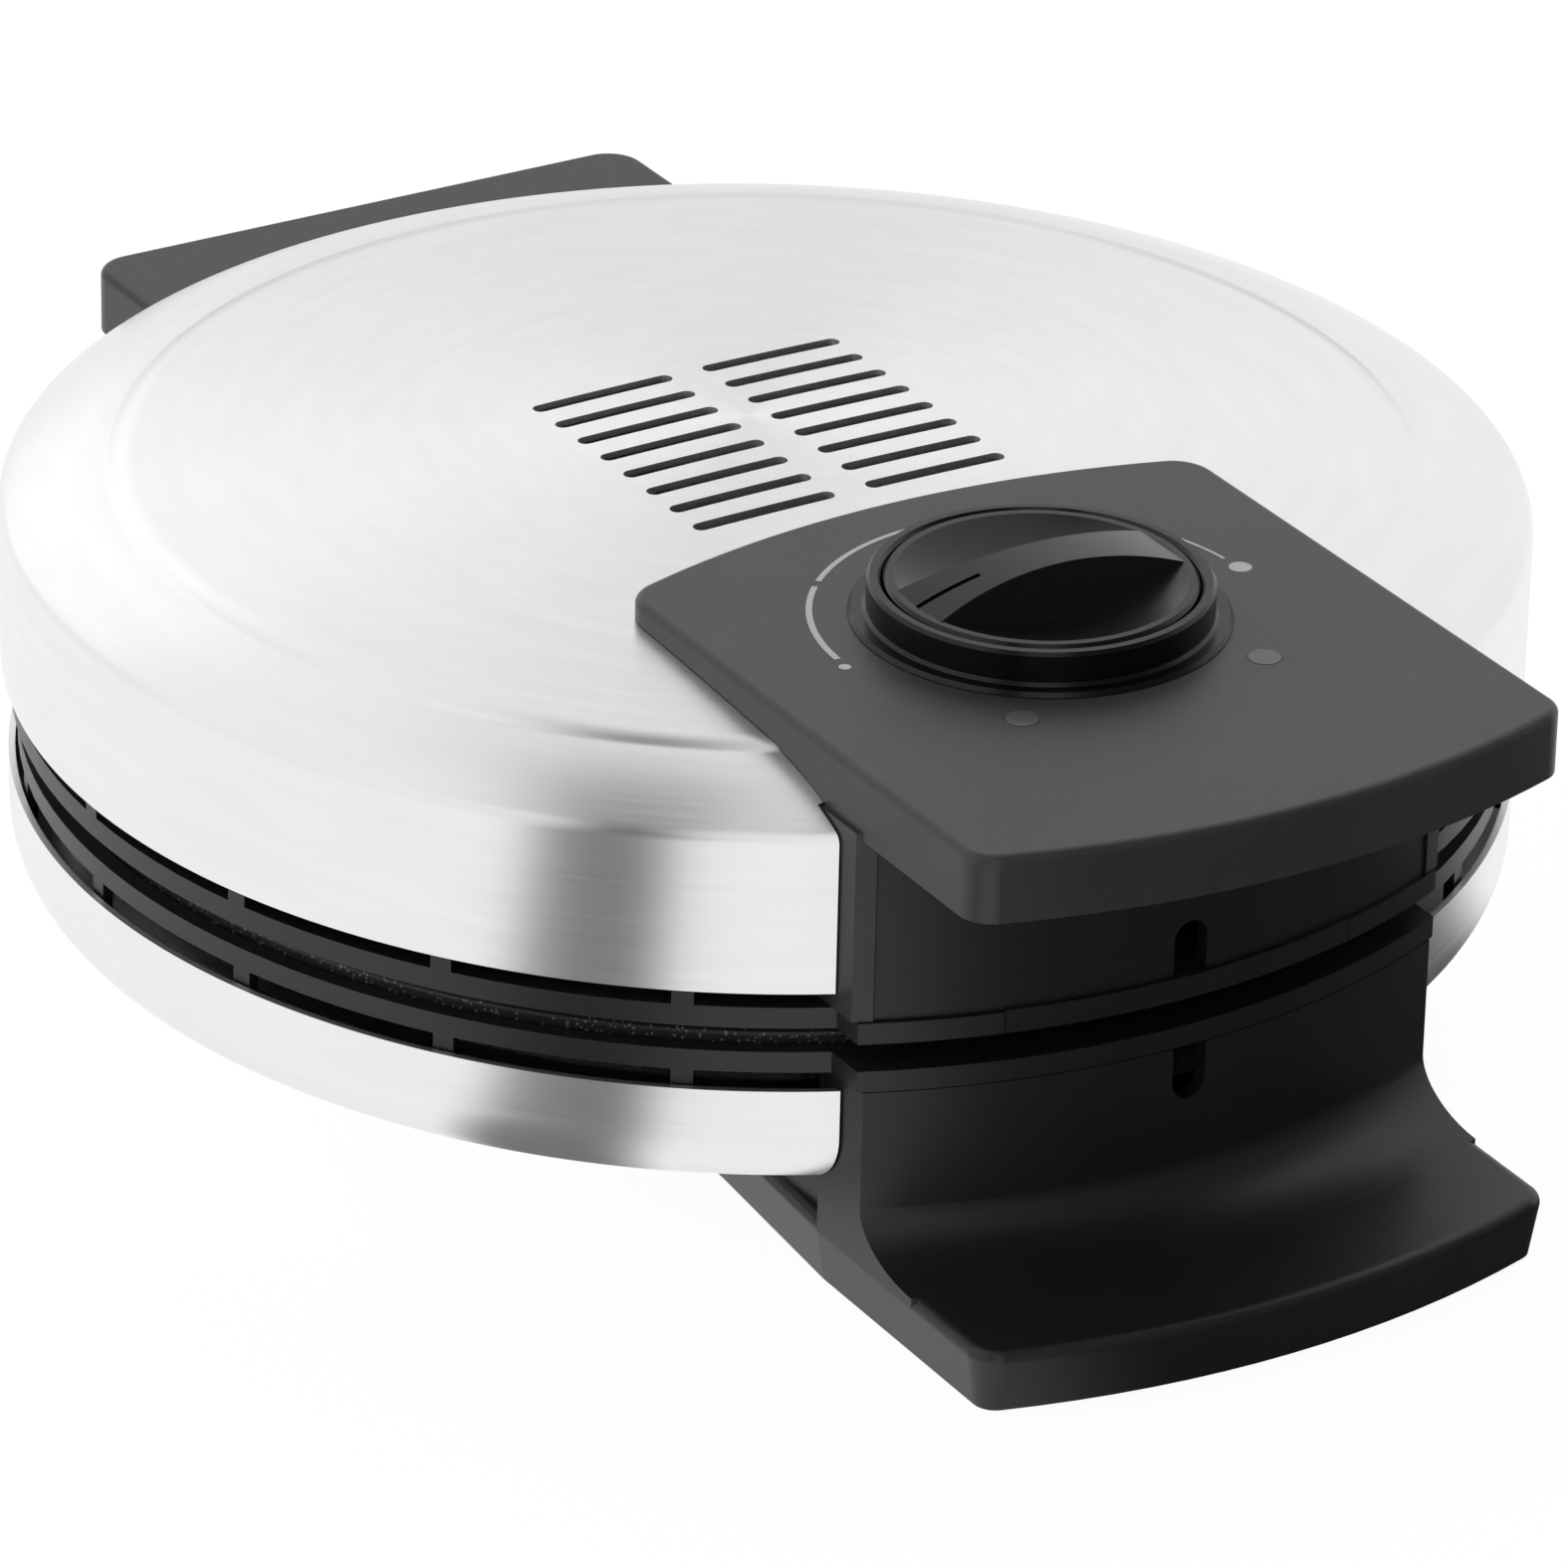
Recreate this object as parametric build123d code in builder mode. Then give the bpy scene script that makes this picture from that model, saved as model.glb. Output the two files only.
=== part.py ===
from build123d import *
import os
from math import atan2, cos, degrees, radians, sin

os.makedirs("parts", exist_ok=True)

# Heart waffle iron, closed, in millimetres
# +Z is up, the front handles point to -Y and the lid hinge is at +Y
# The origin is on the axis of the round body, on the surface that the feet stand on

# Clearances
seat = 0.15
gap = 0.3
running_fit = 0.05
touch = 0.05
lap = 1.0

# Round body
lid_radius = 114.5
base_radius = 113.5
steel = 1.0
parting_height = 42.25
lid_edge_height = 50.6
lid_wall_top = 74.0
shoulder_round = 2.0
shoulder_slope = 27.0
crease_radius = 98.0
crease_height = 80.7
crease_step = 0.4
dome_height = 85.0
base_edge_height = 34.5
pan_bottom = 17.2
pan_corner_radius = 9.5

# Window in the lid under the control panel
window_half_width = 42.0
window_rear = -46.0
tail_window_front = 90.0

# Vent slots in the lid, two columns of eight
slot_rows = 8
slot_pitch = 6.72
slot_length = 23.9
slot_width = 2.5
slot_inner_end = 2.8
slot_first_row = 23.5

# Frame rings between the steel skins and the plates
ring_wall = 2.5
ring_skin_clearance = 0.4
ring_ledge = 5.6
ring_ledge_thickness = 1.4
ring_opening = 2.15
ring_height = 3.3
ring_land_radius = 118.3
ring_land_half_width = 49.0
tab_width = 3.2
tab_length = 6.5
tab_thickness = 1.6
tab_step = 18
tab_phase = -0.7

# Cast plates
plate_face_gap = 0.2
plate_edge_clearance = 0.4
plate_rim_round = 0.8
plate_flange_thickness = 3.65
plate_thickness = 8.4
well_margin = 10.1
well_depth = 2.6
heart_depth = 6.6
heart_count = 5
heart_tip = 14.0
lobe_radius = 22.0
lobe_offset = 19.0
lobe_distance = 68.5
grid_pitch = 8.5
grid_ridge = 2.6
grid_height = 2.8
grid_root = 0.3
plate_post_count = 3
plate_post_circle = 34.0
plate_post_radius = 4.0
plate_post_height = 8.5
post_screw_radius = 1.9
post_screw_head = 1.4

# Heating and reflectors
heater_circle = 58.0
heater_radius = 3.2
heater_arc = 300
reflector_margin = 4.6
reflector_depth = 4.5
reflector_flare = 8.0
reflector_sheet = 0.8

# Control panel, which is also the upper handle
panel_top = 86.7
panel_rim_bottom = 76.5
panel_front = -145.0
panel_front_arc = 147.0
panel_rear = -32.9
panel_rear_arc = 144.0
panel_half_front = 49.2
panel_half_rear = 48.8
panel_front_corner = 5.0
panel_rear_corner = 6.5
panel_edge_round = 1.2
moulding_wall = 2.5
leg_half_width = 49.7
leg_rear = -97.3
leg_face_radius = 117.9
cover_face_radius = 117.5
cover_thickness = 2.4
cover_half_width = 46.6
cover_land_half_width = 29.0
notch_width = 5.5
notch_reach = 8.5

# Dial, bezel and lamps
dial_y = -75.7
bezel_flange_radius = 27.7
bezel_flange_thickness = 0.8
bezel_radius = 25.1
bezel_wall = 2.1
bezel_top = 92.5
bezel_sleeve_radius = 19.0
rim_edge = 0.5
cap_radius = 22.7
cap_top = 92.6
cap_rim = 1.6
cap_dish_depth = 3.6
grip_width = 7.6
grip_foot_width = 16.0
grip_rise = 3.6
pointer_width = 0.9
pointer_inner = 10.5
pointer_outer = 21.0
pointer_depth = 1.0
shaft_radius = 3.0
lamp_radius = 2.45
lamp_x = 20.4
lamp_y = -103.0
bracket_z = 78.0
bracket_sheet = 1.2
bracket_span = 30.0
bracket_width = 14.0
bracket_boss_x = 26.0
bracket_boss_radius = 3.2
lens_fit = 0.1
lens_flange = 0.8
board_sheet = 1.6
board_depth = 10.0
lamp_light_radius = 1.5
lamp_light_height = 1.0
thermostat_radius = 13.0
thermostat_height = 13.0

# Rear of the lid
tail_top = 73.6
tail_thickness = 10.2
tail_half_width = 48.6
tail_overhang = 6.05
tail_corner = 6.0
tail_wall_setback = 1.0
tail_lap = 4.0
pivot_reach = 6.5
knuckle_radius = 5.5
knuckle_web = 12.0
pin_radius = 2.5
pin_half_length = 46.5
ear_width = 7.0
ear_inner = 13.0

# Base moulding with the lower handle
frame_bottom = 0.8
frame_half_front = 48.4
frame_half_rear = 45.8
frame_taper_end = -64.0
frame_draft = 1.5
frame_rear_inset = 10.7
lip_front = -148.65
lip_front_arc = 155.0
lip_top = 10.6
lip_corner = 5.0
lip_round = 1.6
lip_hollow_reach = 13.0
lip_hollow_rise = 7.5
front_wall_radius = 118.4
cheek_half_width = 48.2
cheek_rear = -96.8

# Rear housing of the base
housing_top = 36.4
housing_reach = 11.0
housing_corner = 5.0
inlet_x = -30.0
inlet_z = 18.0
inlet_radius = 3.6
gland_radius = 6.2
gland_flange_radius = 8.0
gland_flange_thickness = 1.4
gland_reach = 3.0
terminal_x = -14.0
terminal_y = 84.0
terminal_length = 26.0
terminal_width = 12.0
terminal_height = 8.0
terminal_pitch = 8.0
terminal_bore = 2.0

# Underside
cover_bottom = 1.4
cover_plate = 2.6
foot_radius = 6.5
foot_recess = 1.2
foot_front_y = -122.0
foot_rear_y = 90.0
foot_front_x = 36.0
foot_rear_x = 32.0
cover_screws = ((36, -104), (34, 0), (32, 68))
screw_radius = 1.8
screw_head_radius = 3.4
screw_length = 9.0
screw_head_height = 1.1
screw_head_recess = 1.4
cooling_slots = 8
cooling_slot_pitch = 10.0
cooling_slot_length = 40.0
cooling_slot_width = 3.0
cooling_slot_middle = 40.0

body_top = 200.0
upper_ring_low = parting_height + ring_opening
upper_ring_top = upper_ring_low + ring_height
lower_ring_top = parting_height - ring_opening
lower_ring_low = lower_ring_top - ring_height
upper_ring_radius = lid_radius - steel - ring_skin_clearance
lower_ring_radius = base_radius - steel - ring_skin_clearance
ring_inner_radius = min(upper_ring_radius, lower_ring_radius) - ring_wall
plate_radius = ring_inner_radius - plate_edge_clearance
plate_body_radius = plate_radius - ring_ledge
well_radius = plate_body_radius - well_margin
reflector_radius = plate_body_radius - reflector_margin
frame_rear = base_radius - frame_rear_inset
housing_rear = base_radius + housing_reach
pivot_y = base_radius + pivot_reach
tail_rear = pivot_y + tail_overhang
tail_wall_rear = pivot_y - tail_wall_setback
plate_face = parting_height - plate_face_gap
plate_back = plate_face - plate_thickness
lower_ledge_low = plate_face - plate_flange_thickness - seat - ring_ledge_thickness
upper_ledge_low = parting_height + plate_face_gap + plate_flange_thickness + seat
notch_half_front = leg_half_width + gap
frame_top = pan_bottom - seat
leg_foot = upper_ledge_low + ring_ledge_thickness + seat
window_front = leg_rear - lap
front_wall_top = lower_ring_low - 2 * touch
frame_draft_angle = degrees(atan2(frame_draft, lip_top - frame_bottom))


def lid_skin(inset):
    """Half section of the lid's outside, moved in by inset."""
    with BuildSketch(Plane.XZ) as section:
        with BuildLine():
            wall_r = lid_radius - inset
            round_r = shoulder_round - inset
            slope = radians(shoulder_slope)
            shoulder = (wall_r - round_r * (1 - sin(slope)), lid_wall_top + round_r * cos(slope))
            crease_r = crease_radius - inset
            inner_crease = (crease_r - crease_step, crease_height + crease_step - inset)
            sag = dome_height - inset - inner_crease[1]
            dome_radius = (inner_crease[0] ** 2 + sag**2) / (2 * sag)
            dome_drop = dome_radius - (dome_radius**2 - (inner_crease[0] / 2) ** 2) ** 0.5
            dome_middle = (inner_crease[0] / 2, dome_height - inset - dome_drop)
            Line((0, lid_edge_height), (wall_r, lid_edge_height))
            Line((wall_r, lid_edge_height), (wall_r, lid_wall_top))
            TangentArc((wall_r, lid_wall_top), shoulder, tangent=(0, 1))
            TangentArc(shoulder, (crease_r, crease_height - inset), tangent=(-cos(slope), sin(slope)))
            Line((crease_r, crease_height - inset), inner_crease)
            ThreePointArc(inner_crease, dome_middle, (0, dome_height - inset))
            Line((0, dome_height - inset), (0, lid_edge_height))
        make_face()
    return section.sketch


def pan_skin(inset, top):
    """Half section of the base pan's outside, moved in by inset."""
    with BuildSketch(Plane.XZ) as section:
        with BuildLine():
            wall_r = base_radius - inset
            low = pan_bottom + inset
            round_r = pan_corner_radius - inset
            Line((0, low), (wall_r - round_r, low))
            RadiusArc((wall_r - round_r, low), (wall_r, low + round_r), -round_r)
            Line((wall_r, low + round_r), (wall_r, top))
            Polyline((wall_r, top), (0, top), (0, low))
        make_face()
    return section.sketch


def panel_outline(inset):
    """Plan of the control panel, moved in by inset."""
    front = panel_front + inset
    rear = panel_rear - inset
    half_front = panel_half_front - inset
    half_rear = panel_half_rear - inset
    front_r = panel_front_arc - inset
    rear_r = panel_rear_arc - inset
    front_side = front + front_r - (front_r**2 - half_front**2) ** 0.5
    rear_side = rear - rear_r + (rear_r**2 - half_rear**2) ** 0.5
    with BuildSketch() as plan:
        with BuildLine():
            ThreePointArc((-half_rear, rear_side), (0, rear), (half_rear, rear_side))
            Line((half_rear, rear_side), (half_front, front_side))
            ThreePointArc((half_front, front_side), (0, front), (-half_front, front_side))
            Line((-half_front, front_side), (-half_rear, rear_side))
        make_face()
        fillet(plan.vertices().group_by(Axis.Y)[-1], panel_rear_corner - inset)
        fillet(plan.vertices().group_by(Axis.Y)[0], panel_front_corner - inset)
    return plan.sketch


def lip_outline(inset, rear):
    """Plan of the base moulding, from the lip back to y = rear."""
    half_front = frame_half_front - inset
    half_rear = frame_half_rear - inset
    front = lip_front + inset
    front_r = lip_front_arc - inset
    front_side = front + front_r - (front_r**2 - half_front**2) ** 0.5
    with BuildSketch() as plan:
        with BuildLine():
            Polyline((-half_front, front_side), (-half_front, cheek_rear), (-half_rear, frame_taper_end),
                     (-half_rear, rear), (half_rear, rear), (half_rear, frame_taper_end), (half_front, cheek_rear),
                     (half_front, front_side))
            ThreePointArc((half_front, front_side), (0, front), (-half_front, front_side))
        make_face()
        fillet(plan.vertices().group_by(Axis.Y)[0], lip_corner - inset)
    return plan.sketch


def front_sector(radius, half_width, rear):
    """Plan between the axis-centred circle, two side planes and y = rear."""
    with BuildSketch() as plan:
        Circle(radius)
        with Locations((0, rear)):
            Rectangle(2 * half_width, 2 * radius, align=(Align.CENTER, Align.MAX), mode=Mode.INTERSECT)
    return plan.sketch


def rear_sector(inner_radius, half_width, rear):
    """Plan behind the axis-centred circle, up to y = rear."""
    with BuildSketch() as plan:
        Rectangle(2 * half_width, rear, align=(Align.CENTER, Align.MIN))
        Circle(inner_radius, mode=Mode.SUBTRACT)
    return plan.sketch


def frame_ring(outer_radius, low, ledge_low, tab_low, land_half):
    """A ring round a plate, with its ledge, front land and tabs."""
    tab_angles = [a + tab_phase for a in range(0, 360, tab_step) if abs(cos(radians(a))) > 0.5]
    with BuildPart() as ring:
        with BuildSketch(Plane.XY.offset(low)):
            add(front_sector(ring_land_radius, ring_land_half_width, leg_rear))
            if land_half:
                Rectangle(2 * land_half, 2 * body_top, align=(Align.CENTER, Align.MAX), mode=Mode.SUBTRACT)
            Circle(outer_radius)
            Circle(ring_inner_radius, mode=Mode.SUBTRACT)
        extrude(amount=ring_height)
        with BuildSketch(Plane.XY.offset(ledge_low)):
            Circle(ring_inner_radius)
            Circle(ring_inner_radius - ring_ledge, mode=Mode.SUBTRACT)
        extrude(amount=ring_ledge_thickness)
        for angle in tab_angles:
            with BuildSketch(Plane.XY.offset(tab_low)):
                reach = outer_radius - tab_thickness / 2
                with Locations(Location((reach * cos(radians(angle)), reach * sin(radians(angle)), 0), (0, 0, angle))):
                    Rectangle(tab_thickness, tab_width)
            extrude(amount=tab_length)
    return ring.part


def heart_outline(inset):
    """One heart of the waffle, with its tip towards the centre."""
    with BuildSketch() as heart:
        tip = (0, heart_tip)
        with Locations((-lobe_offset, lobe_distance), (lobe_offset, lobe_distance)):
            Circle(lobe_radius)
        run = (lobe_offset**2 + (lobe_distance - heart_tip) ** 2) ** 0.5
        reach = (run**2 - lobe_radius**2) ** 0.5
        lean = Vector(lobe_offset, lobe_distance - heart_tip).get_angle(Vector(0, 1))
        spread = lean + Vector(reach, lobe_radius).get_angle(Vector(1, 0))
        touch = (reach * sin(radians(spread)), heart_tip + reach * cos(radians(spread)))
        with BuildLine():
            Polyline(tip, touch, (lobe_offset, lobe_distance), (0, lobe_distance), (-lobe_offset, lobe_distance),
                     (-touch[0], touch[1]), tip)
        make_face()
        offset(amount=-inset, kind=Kind.INTERSECTION)
    return heart.sketch


# Lid skin: a spun steel dome with vent slots, open where the panel and the tail sit
with BuildPart() as lid_shell:
    add(lid_skin(0))
    revolve(axis=Axis.Z)
    add(lid_skin(steel))
    revolve(axis=Axis.Z, mode=Mode.SUBTRACT)
    with BuildSketch(Plane.XY.offset(lid_edge_height - lap)):
        with Locations((0, leg_rear + gap)):
            Rectangle(2 * notch_half_front, lid_radius, align=(Align.CENTER, Align.MAX))
        with Locations((0, window_front)):
            Rectangle(2 * window_half_width, window_rear - window_front, align=(Align.CENTER, Align.MIN))
    extrude(amount=body_top, mode=Mode.SUBTRACT)
    with BuildSketch(Plane.XY.offset(lid_edge_height - lap)):
        with Locations((0, tail_window_front)):
            Rectangle(2 * (tail_half_width + gap), lid_radius, align=(Align.CENTER, Align.MIN))
    extrude(amount=tail_top + gap - lid_edge_height + lap, mode=Mode.SUBTRACT)
    with BuildSketch(Plane.XY.offset(crease_height)):
        slot_centre = slot_inner_end + slot_length / 2
        slot_middle_y = slot_first_row - slot_pitch * (slot_rows - 1) / 2
        with Locations((0, slot_middle_y)):
            with GridLocations(2 * slot_centre, slot_pitch, 2, slot_rows):
                SlotOverall(slot_length, slot_width)
    extrude(amount=dome_height - crease_height, mode=Mode.SUBTRACT)
lid_shell.part.label = "lid_shell"
export_step(lid_shell.part, "parts/lid_shell.step")

# Base skin: a spun steel pan, open at the front moulding and at the rear housing
with BuildPart() as lower_shell:
    add(pan_skin(0, base_edge_height))
    revolve(axis=Axis.Z)
    add(pan_skin(steel, body_top))
    revolve(axis=Axis.Z, mode=Mode.SUBTRACT)
    with BuildSketch():
        with Locations((0, cheek_rear + gap)):
            Rectangle(2 * (cheek_half_width + gap), base_radius, align=(Align.CENTER, Align.MAX))
    extrude(amount=body_top, mode=Mode.SUBTRACT)
    with BuildSketch(Plane.XY.offset(pan_bottom + steel)):
        with Locations((0, tail_window_front)):
            Rectangle(2 * (tail_half_width + gap), lid_radius, align=(Align.CENTER, Align.MIN))
    extrude(amount=body_top, mode=Mode.SUBTRACT)
lower_shell.part.label = "lower_shell"
export_step(lower_shell.part, "parts/lower_shell.step")

# Frame rings: each hangs on its skin by tabs that cross the vent gap
with BuildPart() as upper_ring:
    add(frame_ring(upper_ring_radius, upper_ring_low, upper_ledge_low, upper_ring_top, cover_land_half_width + seat))
upper_ring.part.label = "upper_ring"
export_step(upper_ring.part, "parts/upper_ring.step")

with BuildPart() as lower_ring:
    add(frame_ring(lower_ring_radius, lower_ring_low, lower_ledge_low, lower_ring_low - tab_length, 0))
lower_ring.part.label = "lower_ring"
export_step(lower_ring.part, "parts/lower_ring.step")

# Lower plate: a cast disc with a flange, a shallow round well and five hearts with a grid of ridges
with BuildPart() as lower_plate:
    with BuildSketch(Plane.XY.offset(plate_back)):
        Circle(plate_body_radius)
    extrude(amount=plate_thickness)
    with BuildSketch(Plane.XY.offset(plate_face - plate_flange_thickness)):
        Circle(plate_radius)
    extrude(amount=plate_flange_thickness)
    rim = lower_plate.edges().filter_by(GeomType.CIRCLE).sort_by(Axis.Z)[-1]
    fillet(rim, plate_rim_round)
    with BuildSketch(Plane.XY.offset(plate_face - well_depth)):
        Circle(well_radius)
    extrude(amount=well_depth, mode=Mode.SUBTRACT)
    with BuildSketch(Plane.XY.offset(plate_face - heart_depth)):
        with PolarLocations(0, heart_count, start_angle=0):
            add(heart_outline(0))
    extrude(amount=heart_depth, mode=Mode.SUBTRACT)
    with BuildSketch(Plane.XY.offset(plate_face - heart_depth - grid_root)) as grid:
        with PolarLocations(0, heart_count, start_angle=0):
            add(heart_outline(-grid_root))
        with BuildSketch(mode=Mode.PRIVATE) as bars:
            bar_count = int(2 * plate_radius / grid_pitch)
            with GridLocations(grid_pitch, 0, bar_count, 1):
                Rectangle(grid_ridge, 2 * plate_radius)
            with GridLocations(0, grid_pitch, 1, bar_count):
                Rectangle(2 * plate_radius, grid_ridge)
        add(bars.sketch, mode=Mode.INTERSECT)
    extrude(amount=grid_height + grid_root)
    with BuildSketch(Plane.XY.offset(plate_back)):
        with PolarLocations(plate_post_circle, plate_post_count, start_angle=90):
            Circle(plate_post_radius)
            Circle(post_screw_radius, mode=Mode.SUBTRACT)
    extrude(amount=-plate_post_height)
lower_plate.part.label = "lower_plate"
export_step(lower_plate.part, "parts/lower_plate.step")

# Front wall of the lower handle, swept round the body's axis, with a concave foot that runs into the lip
with BuildPart() as front_wall:
    with BuildSketch(Plane.XZ):
        with BuildLine():
            foot_out = (front_wall_radius + lip_hollow_reach, lip_top)
            foot_up = (front_wall_radius, lip_top + lip_hollow_rise)
            low = lip_top - lip_round
            Polyline((-cheek_rear, low), (foot_out[0], low), foot_out)
            EllipticalCenterArc((foot_out[0], foot_up[1]), lip_hollow_reach, lip_hollow_rise, start_angle=180,
                                arc_size=90)
            Polyline(foot_up, (front_wall_radius, front_wall_top), (-cheek_rear, front_wall_top), (-cheek_rear, low))
        make_face()
    revolve(axis=Axis.Z)
    with BuildSketch():
        with Locations((0, cheek_rear)):
            Rectangle(2 * cheek_half_width, body_top, align=(Align.CENTER, Align.MAX))
    extrude(amount=body_top, mode=Mode.INTERSECT)

# Lower handle and frame: lip, front wall with a concave foot, cheeks and the long beam under the pan
with BuildPart() as base_frame:
    with BuildSketch(Plane.XY.offset(lip_top)):
        add(lip_outline(0, frame_rear))
    extrude(amount=frame_bottom - lip_top, taper=frame_draft_angle)
    lip_edge = base_frame.faces().sort_by(Axis.Z)[-1].edges().filter_by(GeomType.CIRCLE).sort_by(Axis.Y)[0]
    fillet(lip_edge, lip_round)
    with BuildSketch(Plane.XY.offset(lip_top - lip_round)):
        Rectangle(2 * frame_half_rear, frame_rear, align=(Align.CENTER, Align.MIN))
        Rectangle(2 * frame_half_rear, -cheek_rear, align=(Align.CENTER, Align.MAX))
    extrude(amount=frame_top - lip_top + lip_round)
    add(front_wall.part)
    with BuildSketch(Plane.XY.offset(frame_bottom)):
        add(lip_outline(moulding_wall + frame_draft, frame_rear - moulding_wall - frame_draft))
    extrude(amount=lip_top - moulding_wall - frame_bottom, mode=Mode.SUBTRACT)
    with BuildSketch(Plane.XY.offset(lip_top - 2 * moulding_wall)):
        with Locations((0, frame_rear - moulding_wall)):
            Rectangle(2 * (frame_half_rear - moulding_wall), frame_rear - moulding_wall - cheek_rear,
                      align=(Align.CENTER, Align.MAX))
    extrude(amount=frame_top - lip_top + moulding_wall, mode=Mode.SUBTRACT)
    with BuildSketch(Plane.XY.offset(lip_top - moulding_wall)):
        add(front_sector(front_wall_radius - moulding_wall, cheek_half_width - moulding_wall, cheek_rear + lap))
    extrude(amount=body_top, mode=Mode.SUBTRACT)
    notch_foot = front_wall_top - notch_reach
    with BuildSketch(Plane.XZ.offset(front_wall_radius - 2 * moulding_wall)):
        with Locations((0, notch_foot + notch_width / 2)):
            Circle(notch_width / 2)
            Rectangle(notch_width, 2 * notch_reach, align=(Align.CENTER, Align.MIN))
    extrude(amount=3 * moulding_wall, mode=Mode.SUBTRACT)
base_frame.part.label = "base_frame"
export_step(base_frame.part, "parts/base_frame.step")

# Rear housing of the base, with ears for the hinge pin and a hole for the cable gland
with BuildPart() as hinge_housing:
    with BuildSketch(Plane.XY.offset(frame_bottom)):
        with Locations((0, frame_rear + seat)):
            Rectangle(2 * tail_half_width, housing_rear - frame_rear - seat, align=(Align.CENTER, Align.MIN))
    extrude(amount=frame_top - frame_bottom)
    with BuildSketch(Plane.XY.offset(frame_top)):
        add(rear_sector(base_radius + gap, tail_half_width, housing_rear))
    extrude(amount=housing_top - frame_top)
    corners = hinge_housing.edges().filter_by(Axis.Z).group_by(Axis.Y)[-1]
    fillet(corners, housing_corner)
    with BuildSketch(Plane.XY.offset(frame_bottom)):
        with Locations((0, frame_rear + seat + moulding_wall)):
            Rectangle(2 * (tail_half_width - moulding_wall), housing_rear - frame_rear - seat - 2 * moulding_wall,
                      align=(Align.CENTER, Align.MIN))
    extrude(amount=frame_top - frame_bottom - moulding_wall, mode=Mode.SUBTRACT)
    for side in (-1, 1):
        for ear in (ear_inner + ear_width / 2, pin_half_length - ear_width / 2):
            with BuildSketch(Plane.YZ.offset(side * ear - ear_width / 2)):
                with Locations((pivot_y, parting_height)):
                    Circle(knuckle_radius)
                    Rectangle(2 * knuckle_radius, parting_height - frame_top, align=(Align.CENTER, Align.MAX))
                Rectangle(housing_rear - moulding_wall, body_top, align=(Align.MIN, Align.CENTER), mode=Mode.INTERSECT)
                with Locations((pivot_y, parting_height)):
                    Circle(pin_radius + running_fit, mode=Mode.SUBTRACT)
            extrude(amount=ear_width)
    with BuildSketch(Plane.XZ.offset(-housing_rear)):
        with Locations((inlet_x, inlet_z)):
            Circle(gland_radius + seat)
    extrude(amount=moulding_wall + gland_reach + lap, mode=Mode.SUBTRACT)
hinge_housing.part.label = "hinge_housing"
export_step(hinge_housing.part, "parts/hinge_housing.step")

# Hinge pin, one steel rod through all the knuckles
with BuildPart() as hinge_pin:
    with BuildSketch(Plane.YZ.offset(-pin_half_length)):
        with Locations((pivot_y, parting_height)):
            Circle(pin_radius)
    extrude(amount=2 * pin_half_length)
    chamfer(hinge_pin.edges().filter_by(GeomType.CIRCLE), 0.4)
hinge_pin.part.label = "hinge_pin"
export_step(hinge_pin.part, "parts/hinge_pin.step")

# Cable gland, a flanged bush in the rear wall with nothing in it
with BuildPart() as cord_gland:
    with BuildSketch(Plane.XZ.offset(-housing_rear)):
        with Locations((inlet_x, inlet_z)):
            Circle(gland_radius)
            Circle(inlet_radius, mode=Mode.SUBTRACT)
    extrude(amount=moulding_wall + gland_reach)
    with BuildSketch(Plane.XZ.offset(-housing_rear - seat)):
        with Locations((inlet_x, inlet_z)):
            Circle(gland_flange_radius)
            Circle(inlet_radius, mode=Mode.SUBTRACT)
    extrude(amount=-gland_flange_thickness)
    with BuildSketch(Plane.XZ.offset(-housing_rear)):
        with Locations((inlet_x, inlet_z)):
            Circle(gland_radius)
            Circle(inlet_radius, mode=Mode.SUBTRACT)
    extrude(amount=-seat)
cord_gland.part.label = "cord_gland"
export_step(cord_gland.part, "parts/cord_gland.step")

# Bottom cover, set into the beam and the lip from below, with cooling slots and seats for the feet
foot_places = [(side * x, y) for side in (-1, 1) for x, y in ((foot_front_x, foot_front_y), (foot_rear_x, foot_rear_y))]
screw_places = [(side * x, y) for side in (-1, 1) for x, y in cover_screws]
with BuildPart() as bottom_cover:
    with BuildSketch(Plane.XY.offset(cover_bottom)):
        add(lip_outline(moulding_wall + frame_draft + gap, frame_rear - moulding_wall - frame_draft - gap))
        with Locations((0, cooling_slot_middle)):
            with GridLocations(0, cooling_slot_pitch, 1, cooling_slots):
                SlotOverall(cooling_slot_length, cooling_slot_width, mode=Mode.SUBTRACT)
    extrude(amount=cover_plate)
    with BuildSketch(Plane.XY.offset(cover_bottom)):
        with Locations(*screw_places):
            Circle(screw_head_radius + seat)
    extrude(amount=screw_head_recess, mode=Mode.SUBTRACT)
    with BuildSketch(Plane.XY.offset(cover_bottom)):
        with Locations(*screw_places):
            Circle(screw_radius + seat)
    extrude(amount=cover_plate, mode=Mode.SUBTRACT)
    with BuildSketch(Plane.XY.offset(cover_bottom)):
        with Locations(*foot_places):
            Circle(foot_radius + seat)
    extrude(amount=foot_recess, mode=Mode.SUBTRACT)
bottom_cover.part.label = "bottom_cover"
export_step(bottom_cover.part, "parts/bottom_cover.step")

# Rubber feet
with BuildPart() as rubber_feet:
    with BuildSketch():
        with Locations(*foot_places):
            Circle(foot_radius)
    extrude(amount=cover_bottom + foot_recess)
rubber_feet.part.label = "rubber_feet"
export_step(rubber_feet.part, "parts/rubber_feet.step")

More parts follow.
